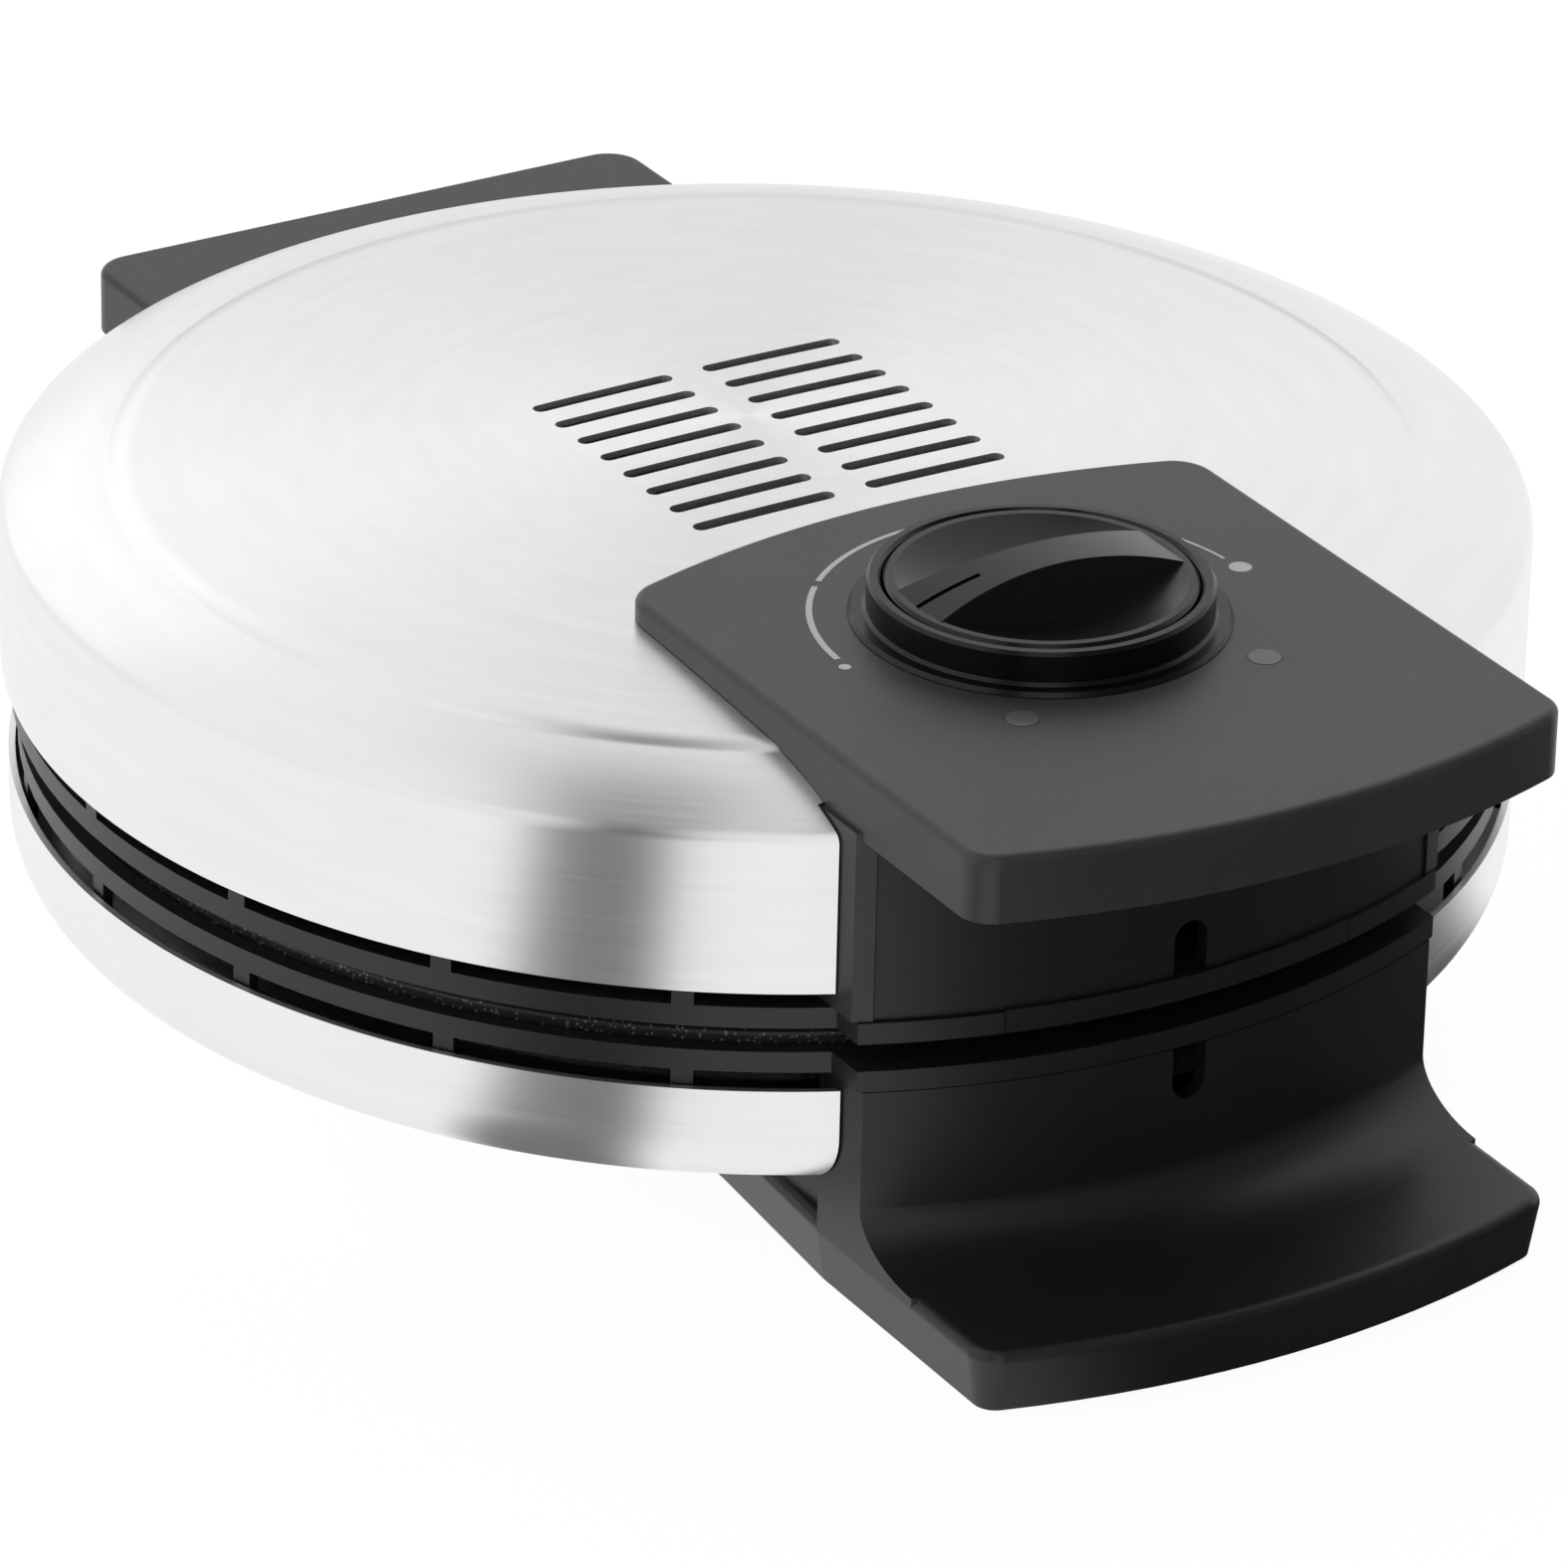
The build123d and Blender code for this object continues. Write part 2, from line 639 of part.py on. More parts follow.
# Screws of the bottom cover
with BuildPart() as bottom_screws:
    screw_seat = cover_bottom + screw_head_recess - touch
    with BuildSketch(Plane.XY.offset(screw_seat)):
        with Locations(*screw_places):
            Circle(screw_head_radius)
    extrude(amount=-screw_head_height)
    with BuildSketch(Plane.XY.offset(screw_seat)):
        with Locations(*screw_places):
            Circle(screw_radius)
    extrude(amount=screw_length)
bottom_screws.part.label = "bottom_screws"
export_step(bottom_screws.part, "parts/bottom_screws.step")

# Tubular heater against the back of the lower plate
heater_height = plate_back - heater_radius - touch
with BuildPart() as lower_heater:
    with BuildLine(Plane.XY.offset(heater_height)) as tube:
        CenterArc((0, 0), heater_circle, 90 - heater_arc / 2, heater_arc)
    with BuildSketch(Plane(origin=tube.line @ 0, z_dir=tube.line % 0)):
        Circle(heater_radius)
    sweep()
lower_heater.part.label = "lower_heater"
export_step(lower_heater.part, "parts/lower_heater.step")

# Reflector dish under the lower heater, held on the plate's posts by three screws
reflector_top = plate_back - plate_post_height - touch
with BuildPart() as lower_reflector:
    with BuildSketch(Plane.XZ):
        with BuildLine():
            dish_floor_radius = reflector_radius - reflector_flare
            Polyline((0, reflector_top), (dish_floor_radius, reflector_top),
                     (reflector_radius, reflector_top + reflector_depth),
                     (reflector_radius, reflector_top + reflector_depth - reflector_sheet),
                     (dish_floor_radius + reflector_sheet / 2, reflector_top - reflector_sheet),
                     (0, reflector_top - reflector_sheet), close=True)
        make_face()
    revolve(axis=Axis.Z)
    with BuildSketch(Plane.XY.offset(reflector_top)):
        with PolarLocations(plate_post_circle, plate_post_count, start_angle=90):
            Circle(post_screw_radius)
    extrude(amount=-2 * reflector_sheet, mode=Mode.SUBTRACT)
lower_reflector.part.label = "lower_reflector"
export_step(lower_reflector.part, "parts/lower_reflector.step")

with BuildPart() as lower_plate_screws:
    with BuildSketch(Plane.XY.offset(reflector_top - reflector_sheet - touch)):
        with PolarLocations(plate_post_circle, plate_post_count, start_angle=90):
            Circle(plate_post_radius - plate_edge_clearance)
    extrude(amount=-post_screw_head)
    with BuildSketch(Plane.XY.offset(reflector_top - reflector_sheet - touch)):
        with PolarLocations(plate_post_circle, plate_post_count, start_angle=90):
            Circle(post_screw_radius - 2 * touch)
    extrude(amount=plate_post_height)
lower_plate_screws.part.label = "lower_plate_screws"
export_step(lower_plate_screws.part, "parts/lower_plate_screws.step")

# The lid carries the same plate, heater, reflector and screws, turned over about the parting plane
parting_plane = Plane.XY.offset(parting_height)
for lower_piece, upper_name in ((lower_plate, "upper_plate"), (lower_heater, "upper_heater"),
                                (lower_reflector, "upper_reflector"), (lower_plate_screws, "upper_plate_screws")):
    with BuildPart() as upper_piece:
        mirror(lower_piece.part, about=parting_plane)
    upper_piece.part.label = upper_name
    export_step(upper_piece.part, f"parts/{upper_name}.step")

# Terminal block on the bottom cover, beside the gland, with three wire bores
with BuildPart() as terminal_block:
    with BuildSketch(Plane.XY.offset(cover_bottom + cover_plate + seat)):
        with Locations((terminal_x, terminal_y)):
            Rectangle(terminal_length, terminal_width)
    extrude(amount=terminal_height)
    with BuildSketch(Plane.XY.offset(cover_bottom + cover_plate + terminal_height / 3)):
        with Locations((terminal_x, terminal_y)):
            with GridLocations(terminal_pitch, 0, 3, 1):
                Circle(terminal_bore)
    extrude(amount=terminal_height, mode=Mode.SUBTRACT)
terminal_block.part.label = "terminal_block"
export_step(terminal_block.part, "parts/terminal_block.step")

# Control panel and upper handle: a thin plate that lies on the lid, with two legs beside the front cover
with BuildPart() as control_housing:
    with BuildSketch(Plane.XY.offset(panel_rim_bottom)):
        add(panel_outline(0))
    extrude(amount=panel_top - panel_rim_bottom)
    fillet(control_housing.faces().sort_by(Axis.Z)[-1].edges(), panel_edge_round)
    with BuildSketch(Plane.XY.offset(panel_rim_bottom)):
        add(panel_outline(moulding_wall))
    extrude(amount=panel_top - panel_rim_bottom - moulding_wall, mode=Mode.SUBTRACT)
    with BuildSketch(Plane.XY.offset(leg_foot)):
        add(front_sector(leg_face_radius, leg_half_width, leg_rear))
        add(front_sector(leg_face_radius + lap, cover_half_width + gap, leg_rear + lap), mode=Mode.SUBTRACT)
    extrude(amount=panel_rim_bottom + lap - leg_foot)
    with BuildSketch(Plane.XY.offset(panel_top - lap)):
        with Locations((-bracket_boss_x, dial_y), (bracket_boss_x, dial_y)):
            Circle(bracket_boss_radius)
    extrude(amount=bracket_z + bracket_sheet + touch - panel_top + lap)
    with BuildPart(mode=Mode.PRIVATE) as lid_form:
        add(lid_skin(-seat))
        revolve(axis=Axis.Z)
        with BuildSketch():
            with Locations((0, leg_rear)):
                Rectangle(body_top, body_top, align=(Align.CENTER, Align.MIN))
            with Locations((0, window_front)):
                Rectangle(2 * window_half_width, window_rear - window_front, align=(Align.CENTER, Align.MIN),
                          mode=Mode.SUBTRACT)
        extrude(amount=body_top, mode=Mode.INTERSECT)
    add(lid_form.part, mode=Mode.SUBTRACT)
    with BuildSketch(Plane.XY.offset(panel_top)):
        with Locations((0, dial_y)):
            Circle(bezel_sleeve_radius + seat)
        with Locations((-lamp_x, lamp_y), (lamp_x, lamp_y)):
            Circle(lamp_radius + lens_fit)
    extrude(amount=-moulding_wall - lap, mode=Mode.SUBTRACT)
control_housing.part.label = "control_housing"
export_step(control_housing.part, "parts/control_housing.step")

# Front cover: the curved wall between the panel's legs, with its foot strip and an oblong notch
with BuildPart() as front_cover:
    with BuildSketch(Plane.XY.offset(leg_foot)):
        add(front_sector(cover_face_radius, cover_half_width, leg_rear + 4 * lap))
        Circle(cover_face_radius - cover_thickness, mode=Mode.SUBTRACT)
    extrude(amount=panel_rim_bottom - gap - leg_foot)
    with BuildSketch(Plane.XY.offset(upper_ring_low)):
        add(front_sector(ring_land_radius, cover_land_half_width, leg_rear))
        Circle(upper_ring_radius + 2 * seat, mode=Mode.SUBTRACT)
    extrude(amount=ring_height + 2 * seat)
    with BuildSketch(Plane.XZ.offset(front_wall_radius - 2 * moulding_wall)):
        with Locations((0, leg_foot + notch_reach - notch_width / 2)):
            Circle(notch_width / 2)
            Rectangle(notch_width, notch_reach - notch_width / 2 - 2 * seat, align=(Align.CENTER, Align.MAX))
    extrude(amount=3 * moulding_wall, mode=Mode.SUBTRACT)
front_cover.part.label = "front_cover"
export_step(front_cover.part, "parts/front_cover.step")

dial_section = Plane(origin=(0, dial_y, 0), x_dir=(1, 0, 0), z_dir=(0, -1, 0))
dial_axis = Axis((0, dial_y, 0), (0, 0, 1))

# Bezel of the dial: a flange on the panel, a raised ring and a sleeve through the panel
with BuildPart() as dial_bezel:
    with BuildSketch(dial_section):
        with BuildLine():
            floor_z = panel_top + bezel_flange_thickness
            sleeve_low = panel_top - moulding_wall - lap
            inner_r = bezel_radius - bezel_wall
            bore_r = shaft_radius + 2 * lap
            Polyline((bore_r, sleeve_low), (bezel_sleeve_radius, sleeve_low),
                     (bezel_sleeve_radius, panel_top + seat), (bezel_flange_radius, panel_top + seat),
                     (bezel_flange_radius - rim_edge, floor_z), (bezel_radius + rim_edge, floor_z),
                     (bezel_radius, floor_z + rim_edge), (bezel_radius, bezel_top - rim_edge),
                     (bezel_radius - rim_edge, bezel_top), (inner_r + rim_edge, bezel_top),
                     (inner_r, bezel_top - rim_edge), (inner_r, floor_z), (bore_r, floor_z), close=True)
        make_face()
    revolve(axis=dial_axis)
dial_bezel.part.label = "dial_bezel"
export_step(dial_bezel.part, "parts/dial_bezel.step")

# Arched grip of the dial: flat along its back, with flanks that spread towards the dish
cap_low = panel_top + bezel_flange_thickness + gap
dish_edge = cap_radius - cap_rim
dish_floor = cap_top - cap_dish_depth
with BuildPart() as dial_grip:
    with BuildSketch(dial_section.offset(-grip_foot_width / 2)):
        with BuildLine():
            ThreePointArc((-dish_edge, cap_top - seat), (0, cap_top + grip_rise), (dish_edge, cap_top - seat))
            Polyline((dish_edge, cap_top - seat), (dish_edge, dish_floor), (-dish_edge, dish_floor),
                     (-dish_edge, cap_top - seat))
        make_face()
    extrude(amount=grip_foot_width)
    with BuildSketch(Plane.YZ.offset(-cap_radius)):
        with BuildLine():
            Polyline((dial_y - grip_foot_width / 2, dish_floor), (dial_y + grip_foot_width / 2, dish_floor),
                     (dial_y + grip_width / 2, cap_top + grip_rise), (dial_y - grip_width / 2, cap_top + grip_rise),
                     close=True)
        make_face()
    extrude(amount=2 * cap_radius, mode=Mode.INTERSECT)

# Dial cap: a dished disc with the grip across it and a groove that points at -X
with BuildPart() as dial_cap:
    with BuildSketch(dial_section):
        with BuildLine():
            ThreePointArc((0, dish_floor), (dish_edge / 2, cap_top - cap_dish_depth * 0.75), (dish_edge, cap_top))
            Polyline((dish_edge, cap_top), (cap_radius - rim_edge, cap_top), (cap_radius, cap_top - rim_edge),
                     (cap_radius, cap_low), (0, cap_low), (0, dish_floor))
        make_face()
    revolve(axis=dial_axis)
    add(dial_grip.part)
    with BuildSketch(Plane.XY.offset(cap_low)):
        with Locations((0, dial_y)):
            Circle(cap_radius)
    extrude(amount=body_top, mode=Mode.INTERSECT)
    with BuildSketch(dial_section.offset(-pointer_width / 2)):
        with BuildLine():
            Polyline((-pointer_outer, cap_top - pointer_depth), (-pointer_inner, cap_top + grip_rise - 2 * pointer_depth),
                     (-pointer_inner, body_top), (-pointer_outer, body_top), close=True)
        make_face()
    extrude(amount=pointer_width, mode=Mode.SUBTRACT)
    with BuildSketch(Plane.XY.offset(cap_low)):
        with Locations((0, dial_y)):
            Circle(shaft_radius + running_fit)
    extrude(amount=dish_floor - cap_low, mode=Mode.SUBTRACT)
dial_cap.part.label = "dial_cap"
export_step(dial_cap.part, "parts/dial_cap.step")

# Thermostat with its bracket under the panel, and the shaft that carries the cap
with BuildPart() as thermostat_bracket:
    with BuildSketch(Plane.XY.offset(bracket_z)):
        with Locations((0, dial_y)):
            SlotOverall(2 * bracket_span, bracket_width)
            Circle(shaft_radius + running_fit, mode=Mode.SUBTRACT)
    extrude(amount=bracket_sheet)
thermostat_bracket.part.label = "thermostat_bracket"
export_step(thermostat_bracket.part, "parts/thermostat_bracket.step")

with BuildPart() as thermostat:
    with BuildSketch(Plane.XY.offset(bracket_z - seat)):
        with Locations((0, dial_y)):
            Circle(thermostat_radius)
    extrude(amount=-thermostat_height)
    with BuildSketch(Plane.XY.offset(bracket_z - seat)):
        with Locations((0, dial_y)):
            Circle(shaft_radius + running_fit)
    extrude(amount=-thermostat_height / 2, mode=Mode.SUBTRACT)
thermostat.part.label = "thermostat"
export_step(thermostat.part, "parts/thermostat.step")

with BuildPart() as thermostat_shaft:
    with BuildSketch(Plane.XY.offset(bracket_z - thermostat_height / 2)):
        with Locations((0, dial_y)):
            Circle(shaft_radius)
    extrude(amount=dish_floor - gap - bracket_z + thermostat_height / 2)
thermostat_shaft.part.label = "thermostat_shaft"
export_step(thermostat_shaft.part, "parts/thermostat_shaft.step")

# Two flush lamp lenses in the panel, and the lamp board under them
lens_seat = panel_top - moulding_wall - seat
for name, side in (("left_lamp_lens", -1), ("right_lamp_lens", 1)):
    with BuildPart() as lens:
        with BuildSketch(Plane.XY.offset(lens_seat)):
            with Locations((side * lamp_x, lamp_y)):
                Circle(lamp_radius)
        extrude(amount=moulding_wall + seat + touch)
        with BuildSketch(Plane.XY.offset(lens_seat)):
            with Locations((side * lamp_x, lamp_y)):
                Circle(lamp_radius + lens_flange)
        extrude(amount=-lens_flange)
    lens.part.label = name
    export_step(lens.part, f"parts/{name}.step")

board_top = lens_seat - lens_flange - lamp_light_height - seat
with BuildPart() as lamp_board:
    with BuildSketch(Plane.XY.offset(board_top)):
        with Locations((0, lamp_y)):
            Rectangle(2 * lamp_x + board_depth, board_depth)
    extrude(amount=-board_sheet)
    with BuildSketch(Plane.XY.offset(board_top)):
        with Locations((-lamp_x, lamp_y), (lamp_x, lamp_y)):
            Circle(lamp_light_radius)
    extrude(amount=lamp_light_height)
lamp_board.part.label = "lamp_board"
export_step(lamp_board.part, "parts/lamp_board.step")

# Rear tail of the lid: a flat top plate over a chunky wall, with knuckles on the hinge pin
with BuildPart() as hinge_cover:
    with BuildSketch(Plane.XY.offset(tail_top - tail_thickness)):
        add(rear_sector(lid_radius - steel - tail_lap, tail_half_width, tail_rear))
    extrude(amount=tail_thickness)
    fillet(hinge_cover.edges().filter_by(Axis.Z).group_by(Axis.Y)[-1], tail_corner)
    fillet(hinge_cover.faces().sort_by(Axis.Z)[-1].edges().group_by(Axis.Y)[-1], panel_edge_round)
    with BuildSketch(Plane.XY.offset(leg_foot)):
        add(rear_sector(upper_ring_radius + gap, tail_half_width, tail_wall_rear))
    extrude(amount=tail_top - tail_thickness - leg_foot + lap)
    for side in (-1, 1):
        for ear in (ear_inner + ear_width / 2, pin_half_length - ear_width / 2):
            with BuildSketch(Plane.YZ.offset(side * ear - ear_width / 2 - gap)):
                with Locations((pivot_y, parting_height)):
                    Circle(knuckle_radius + gap)
            extrude(amount=ear_width + 2 * gap, mode=Mode.SUBTRACT)
        knuckle_low = ear_inner + ear_width + gap
        knuckle_high = pin_half_length - ear_width - gap
        with BuildSketch(Plane.YZ.offset(side * (knuckle_low + knuckle_high) / 2 - (knuckle_high - knuckle_low) / 2)):
            with Locations((pivot_y, parting_height)):
                Circle(knuckle_radius)
            with Locations((pivot_y, parting_height)):
                Rectangle(knuckle_radius, knuckle_web, align=(Align.MAX, Align.MIN))
        extrude(amount=knuckle_high - knuckle_low)
    with BuildSketch(Plane.YZ.offset(-pin_half_length - lap)):
        with Locations((pivot_y, parting_height)):
            Circle(pin_radius + running_fit)
    extrude(amount=2 * (pin_half_length + lap), mode=Mode.SUBTRACT)
hinge_cover.part.label = "hinge_cover"
export_step(hinge_cover.part, "parts/hinge_cover.step")
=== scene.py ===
"""A closed heart waffle iron with spun steel skins, black handles and a browning dial, set up for a studio picture."""

import logging
import math
from dataclasses import dataclass
from enum import Enum

import bmesh
import bpy
from mathutils import Matrix, Vector


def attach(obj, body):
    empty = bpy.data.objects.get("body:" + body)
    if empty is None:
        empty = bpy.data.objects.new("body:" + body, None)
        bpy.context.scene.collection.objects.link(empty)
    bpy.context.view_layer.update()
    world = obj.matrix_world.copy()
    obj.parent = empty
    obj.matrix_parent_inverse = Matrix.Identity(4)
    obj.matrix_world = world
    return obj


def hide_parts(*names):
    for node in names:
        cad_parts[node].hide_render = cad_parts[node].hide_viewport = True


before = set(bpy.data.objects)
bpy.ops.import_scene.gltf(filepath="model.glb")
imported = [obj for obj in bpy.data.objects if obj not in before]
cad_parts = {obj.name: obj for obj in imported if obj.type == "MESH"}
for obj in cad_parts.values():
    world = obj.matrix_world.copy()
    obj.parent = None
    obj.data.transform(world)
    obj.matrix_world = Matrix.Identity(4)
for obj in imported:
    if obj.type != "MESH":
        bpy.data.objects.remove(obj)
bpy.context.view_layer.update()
LOG = logging.getLogger("waffle_iron")

Point = tuple[float, float]
Span = tuple[float, float]
Colour = tuple[float, float, float]
Cut = tuple[list[Point], float, float]

# Arcs that turn by less than this, in radians, are drawn as straight lines
STRAIGHT = 1e-6


class Body(Enum):
    """Bodies of the object that carry the pieces made here."""

    BASE = "base"
    LID = "lid"


def reckon(tree: bpy.types.NodeTree, operation: str, *values: object) -> bpy.types.NodeSocket:
    """Adds a math node.

    Args:
        tree: tree that gets the node.
        operation: name of the operation.
        values: sockets or numbers for its inputs.

    Returns:
        The node's output socket.
    """
    node = tree.nodes.new("ShaderNodeMath")
    node.operation = operation
    for slot, value in zip(node.inputs, values):
        if isinstance(value, bpy.types.NodeSocket):
            tree.links.new(value, slot)
        else:
            slot.default_value = value
    return node.outputs[0]


def soft_step(
    tree: bpy.types.NodeTree, value: bpy.types.NodeSocket, start: object, end: object
) -> bpy.types.NodeSocket:
    """Adds a smooth ramp from 0 to 1.

    Args:
        tree: tree that gets the node.
        value: the socket that is looked up.
        start: socket or number where the ramp is 0.
        end: socket or number where the ramp is 1.

    Returns:
        The ramp's output socket.
    """
    node = tree.nodes.new("ShaderNodeMapRange")
    node.interpolation_type = "SMOOTHSTEP"
    tree.links.new(value, node.inputs["Value"])
    for label, place in (("From Min", start), ("From Max", end)):
        if isinstance(place, bpy.types.NodeSocket):
            tree.links.new(place, node.inputs[label])
        else:
            node.inputs[label].default_value = place
    return node.outputs["Result"]


class ShaderGroups:
    """Shader node groups that several finishes or lights share, each made once."""

    # Output, share of the lines and share of the streaks
    BRUSH_LAYERS = (("Height", 1.0, 1.0), ("Mask", 0.12, 2.0))
    BRUSH_DETAIL = 3.0
    # Output, share of the scale and detail
    GRAIN_LAYERS = (("Height", 1.0, 2.0), ("Mask", 0.02, 4.0))
    FLAKE_SIZE = 0.42
    LEAST_RUN = 0.0001
    # Reach along its direction below which the ceiling strip is gone, and above which it is whole
    STRIP_END = (-0.6, -0.3)

    def __init__(self) -> None:
        """Starts with no group made."""
        self.made: dict[str, bpy.types.NodeTree] = {}

    def _start(
        self, name: str, numbers: tuple[str, ...], outputs: tuple[str, ...]
    ) -> tuple[bpy.types.NodeTree, bpy.types.NodeInputs, bpy.types.NodeOutputs]:
        """Makes a group that takes a vector and some numbers.

        Args:
            name: name of the group.
            numbers: names of its number inputs.
            outputs: names of what it puts out.

        Returns:
            The group, the sockets of what it puts out, and those of what goes in.
        """
        tree = bpy.data.node_groups.new(name, "ShaderNodeTree")
        tree.interface.new_socket("Vector", in_out="INPUT", socket_type="NodeSocketVector")
        for label in numbers:
            tree.interface.new_socket(label, in_out="INPUT", socket_type="NodeSocketFloat")
        for label in outputs:
            tree.interface.new_socket(label, in_out="OUTPUT", socket_type="NodeSocketFloat")
        given = tree.nodes.new("NodeGroupInput").outputs
        results = tree.nodes.new("NodeGroupOutput").inputs
        self.made[name] = tree
        return tree, results, given

    def _split(self, tree: bpy.types.NodeTree, given: bpy.types.NodeOutputs) -> bpy.types.NodeOutputs:
        """Splits a group's vector.

        Args:
            tree: the group.
            given: the sockets of what goes in.

        Returns:
            The sockets of the vector's x, y and z.
        """
        node = tree.nodes.new("ShaderNodeSeparateXYZ")
        tree.links.new(given["Vector"], node.inputs[0])
        return node.outputs

    def _run(
        self, tree: bpy.types.NodeTree, x: bpy.types.NodeSocket, y: bpy.types.NodeSocket
    ) -> bpy.types.NodeSocket:
        """Adds the distance from the upright axis.

        Args:
            tree: tree that gets the nodes.
            x: east share of the vector.
            y: north share of the vector.

        Returns:
            The distance's socket.
        """
        squares = (reckon(tree, "MULTIPLY", share, share) for share in (x, y))
        return reckon(tree, "SQRT", reckon(tree, "ADD", *squares))

    def _along(
        self,
        tree: bpy.types.NodeTree,
        x: bpy.types.NodeSocket,
        y: bpy.types.NodeSocket,
        given: bpy.types.NodeOutputs,
    ) -> bpy.types.NodeSocket:
        """Adds how far a vector reaches towards East and North.

        Args:
            tree: tree that gets the nodes.
            x: east share of the vector.
            y: north share of the vector.
            given: the group's inputs, with East and North among them.

        Returns:
            The reach's socket.
        """
        east = reckon(tree, "MULTIPLY", x, given["East"])
        north = reckon(tree, "MULTIPLY", y, given["North"])
        return reckon(tree, "ADD", east, north)

    def brushing(self) -> bpy.types.NodeTree:
        """Fine lines left by a brush that turned round the upright axis.

        Returns:
            The group, with Vector, Lines and Streaks going in, and Height and Mask coming out.
        """
        if "spun brushing" in self.made:
            return self.made["spun brushing"]
        tree, results, given = self._start("spun brushing", ("Lines", "Streaks"), ("Height", "Mask"))
        x, y, z = self._split(tree, given)
        radius = self._run(tree, x, y)
        run = reckon(tree, "ADD", radius, z)
        east = reckon(tree, "DIVIDE", x, radius)
        north = reckon(tree, "DIVIDE", y, radius)
        for label, share, amount in self.BRUSH_LAYERS:
            lines = reckon(tree, "MULTIPLY", run, reckon(tree, "MULTIPLY", given["Lines"], share))
            streaks = reckon(tree, "MULTIPLY", given["Streaks"], amount)
            joined = tree.nodes.new("ShaderNodeCombineXYZ")
            tree.links.new(lines, joined.inputs[0])
            tree.links.new(reckon(tree, "MULTIPLY", east, streaks), joined.inputs[1])
            tree.links.new(reckon(tree, "MULTIPLY", north, streaks), joined.inputs[2])
            noise = tree.nodes.new("ShaderNodeTexNoise")
            noise.inputs["Scale"].default_value = 1.0
            noise.inputs["Detail"].default_value = self.BRUSH_DETAIL
            tree.links.new(joined.outputs[0], noise.inputs["Vector"])
            tree.links.new(noise.outputs["Fac"], results[label])
        return tree

    def grain(self) -> bpy.types.NodeTree:
        """Fine pebbled grain of a spark-eroded mould.

        Returns:
            The group, with Vector and Scale going in, and Height and Mask coming out.
        """
        if "mould grain" in self.made:
            return self.made["mould grain"]
        tree, results, given = self._start("mould grain", ("Scale",), ("Height", "Mask"))
        for label, share, detail in self.GRAIN_LAYERS:
            noise = tree.nodes.new("ShaderNodeTexNoise")
            noise.inputs["Detail"].default_value = detail
            tree.links.new(given["Vector"], noise.inputs["Vector"])
            tree.links.new(reckon(tree, "MULTIPLY", given["Scale"], share), noise.inputs["Scale"])
            tree.links.new(noise.outputs["Fac"], results[label])
        return tree

    def sparkle(self) -> bpy.types.NodeTree:
        """Tiny bright flakes in a non-stick coating.

        Returns:
            The group, with Vector, Scale and Amount going in, and Mask coming out.
        """
        if "coating sparkle" in self.made:
            return self.made["coating sparkle"]
        tree, results, given = self._start("coating sparkle", ("Scale", "Amount"), ("Mask",))
        cells = tree.nodes.new("ShaderNodeTexVoronoi")
        tree.links.new(given["Vector"], cells.inputs["Vector"])
        tree.links.new(given["Scale"], cells.inputs["Scale"])
        hue = tree.nodes.new("ShaderNodeSeparateColor")
        tree.links.new(cells.outputs["Color"], hue.inputs[0])
        picked = reckon(tree, "LESS_THAN", hue.outputs[0], given["Amount"])
        middle = reckon(tree, "LESS_THAN", cells.outputs["Distance"], self.FLAKE_SIZE)
        tree.links.new(reckon(tree, "MULTIPLY", picked, middle), results["Mask"])
        return tree

    def azimuth_band(self) -> bpy.types.NodeTree:
        """A soft-edged wedge round one compass direction.

        Returns:
            The group, with Vector, East, North, Edge and Core going in, and Mask coming out. East and North are the
            wedge's direction, Edge and Core the cosines at which it starts and is full.
        """
        if "azimuth band" in self.made:
            return self.made["azimuth band"]
        tree, results, given = self._start("azimuth band", ("East", "North", "Edge", "Core"), ("Mask",))
        x, y, _ = self._split(tree, given)
        run = reckon(tree, "MAXIMUM", self._run(tree, x, y), self.LEAST_RUN)
        cosine = reckon(tree, "DIVIDE", self._along(tree, x, y, given), run)
        tree.links.new(soft_step(tree, cosine, given["Edge"], given["Core"]), results["Mask"])
        return tree

    def ceiling_strip(self) -> bpy.types.NodeTree:
        """A soft-edged strip that rises on one side and runs over the top of the room, narrower overhead.

        Returns:
            The group, with Vector, East, North, Offset, Edge, Core and Taper going in, and Mask coming out. East and
            North are the direction towards which the strip rises, Offset is how far it lies to the left of it, and
            Edge and Core are the distances from its middle at which it starts and is full.
        """
        if "ceiling strip" in self.made:
            return self.made["ceiling strip"]
        numbers = ("East", "North", "Offset", "Edge", "Core", "Taper")
        tree, results, given = self._start("ceiling strip", numbers, ("Mask",))
        x, y, z = self._split(tree, given)
        left = reckon(
            tree,
            "SUBTRACT",
            reckon(tree, "MULTIPLY", y, given["East"]),
            reckon(tree, "MULTIPLY", x, given["North"]),
        )
        away = reckon(tree, "ABSOLUTE", reckon(tree, "SUBTRACT", left, given["Offset"]))
        rise = reckon(tree, "MULTIPLY", reckon(tree, "MAXIMUM", z, 0.0), given["Taper"])
        width = reckon(tree, "MULTIPLY", away, reckon(tree, "ADD", rise, 1.0))
        across = soft_step(tree, width, given["Edge"], given["Core"])
        over = soft_step(tree, self._along(tree, x, y, given), *self.STRIP_END)
        tree.links.new(reckon(tree, "MULTIPLY", across, over), results["Mask"])
        return tree


GROUPS = ShaderGroups()


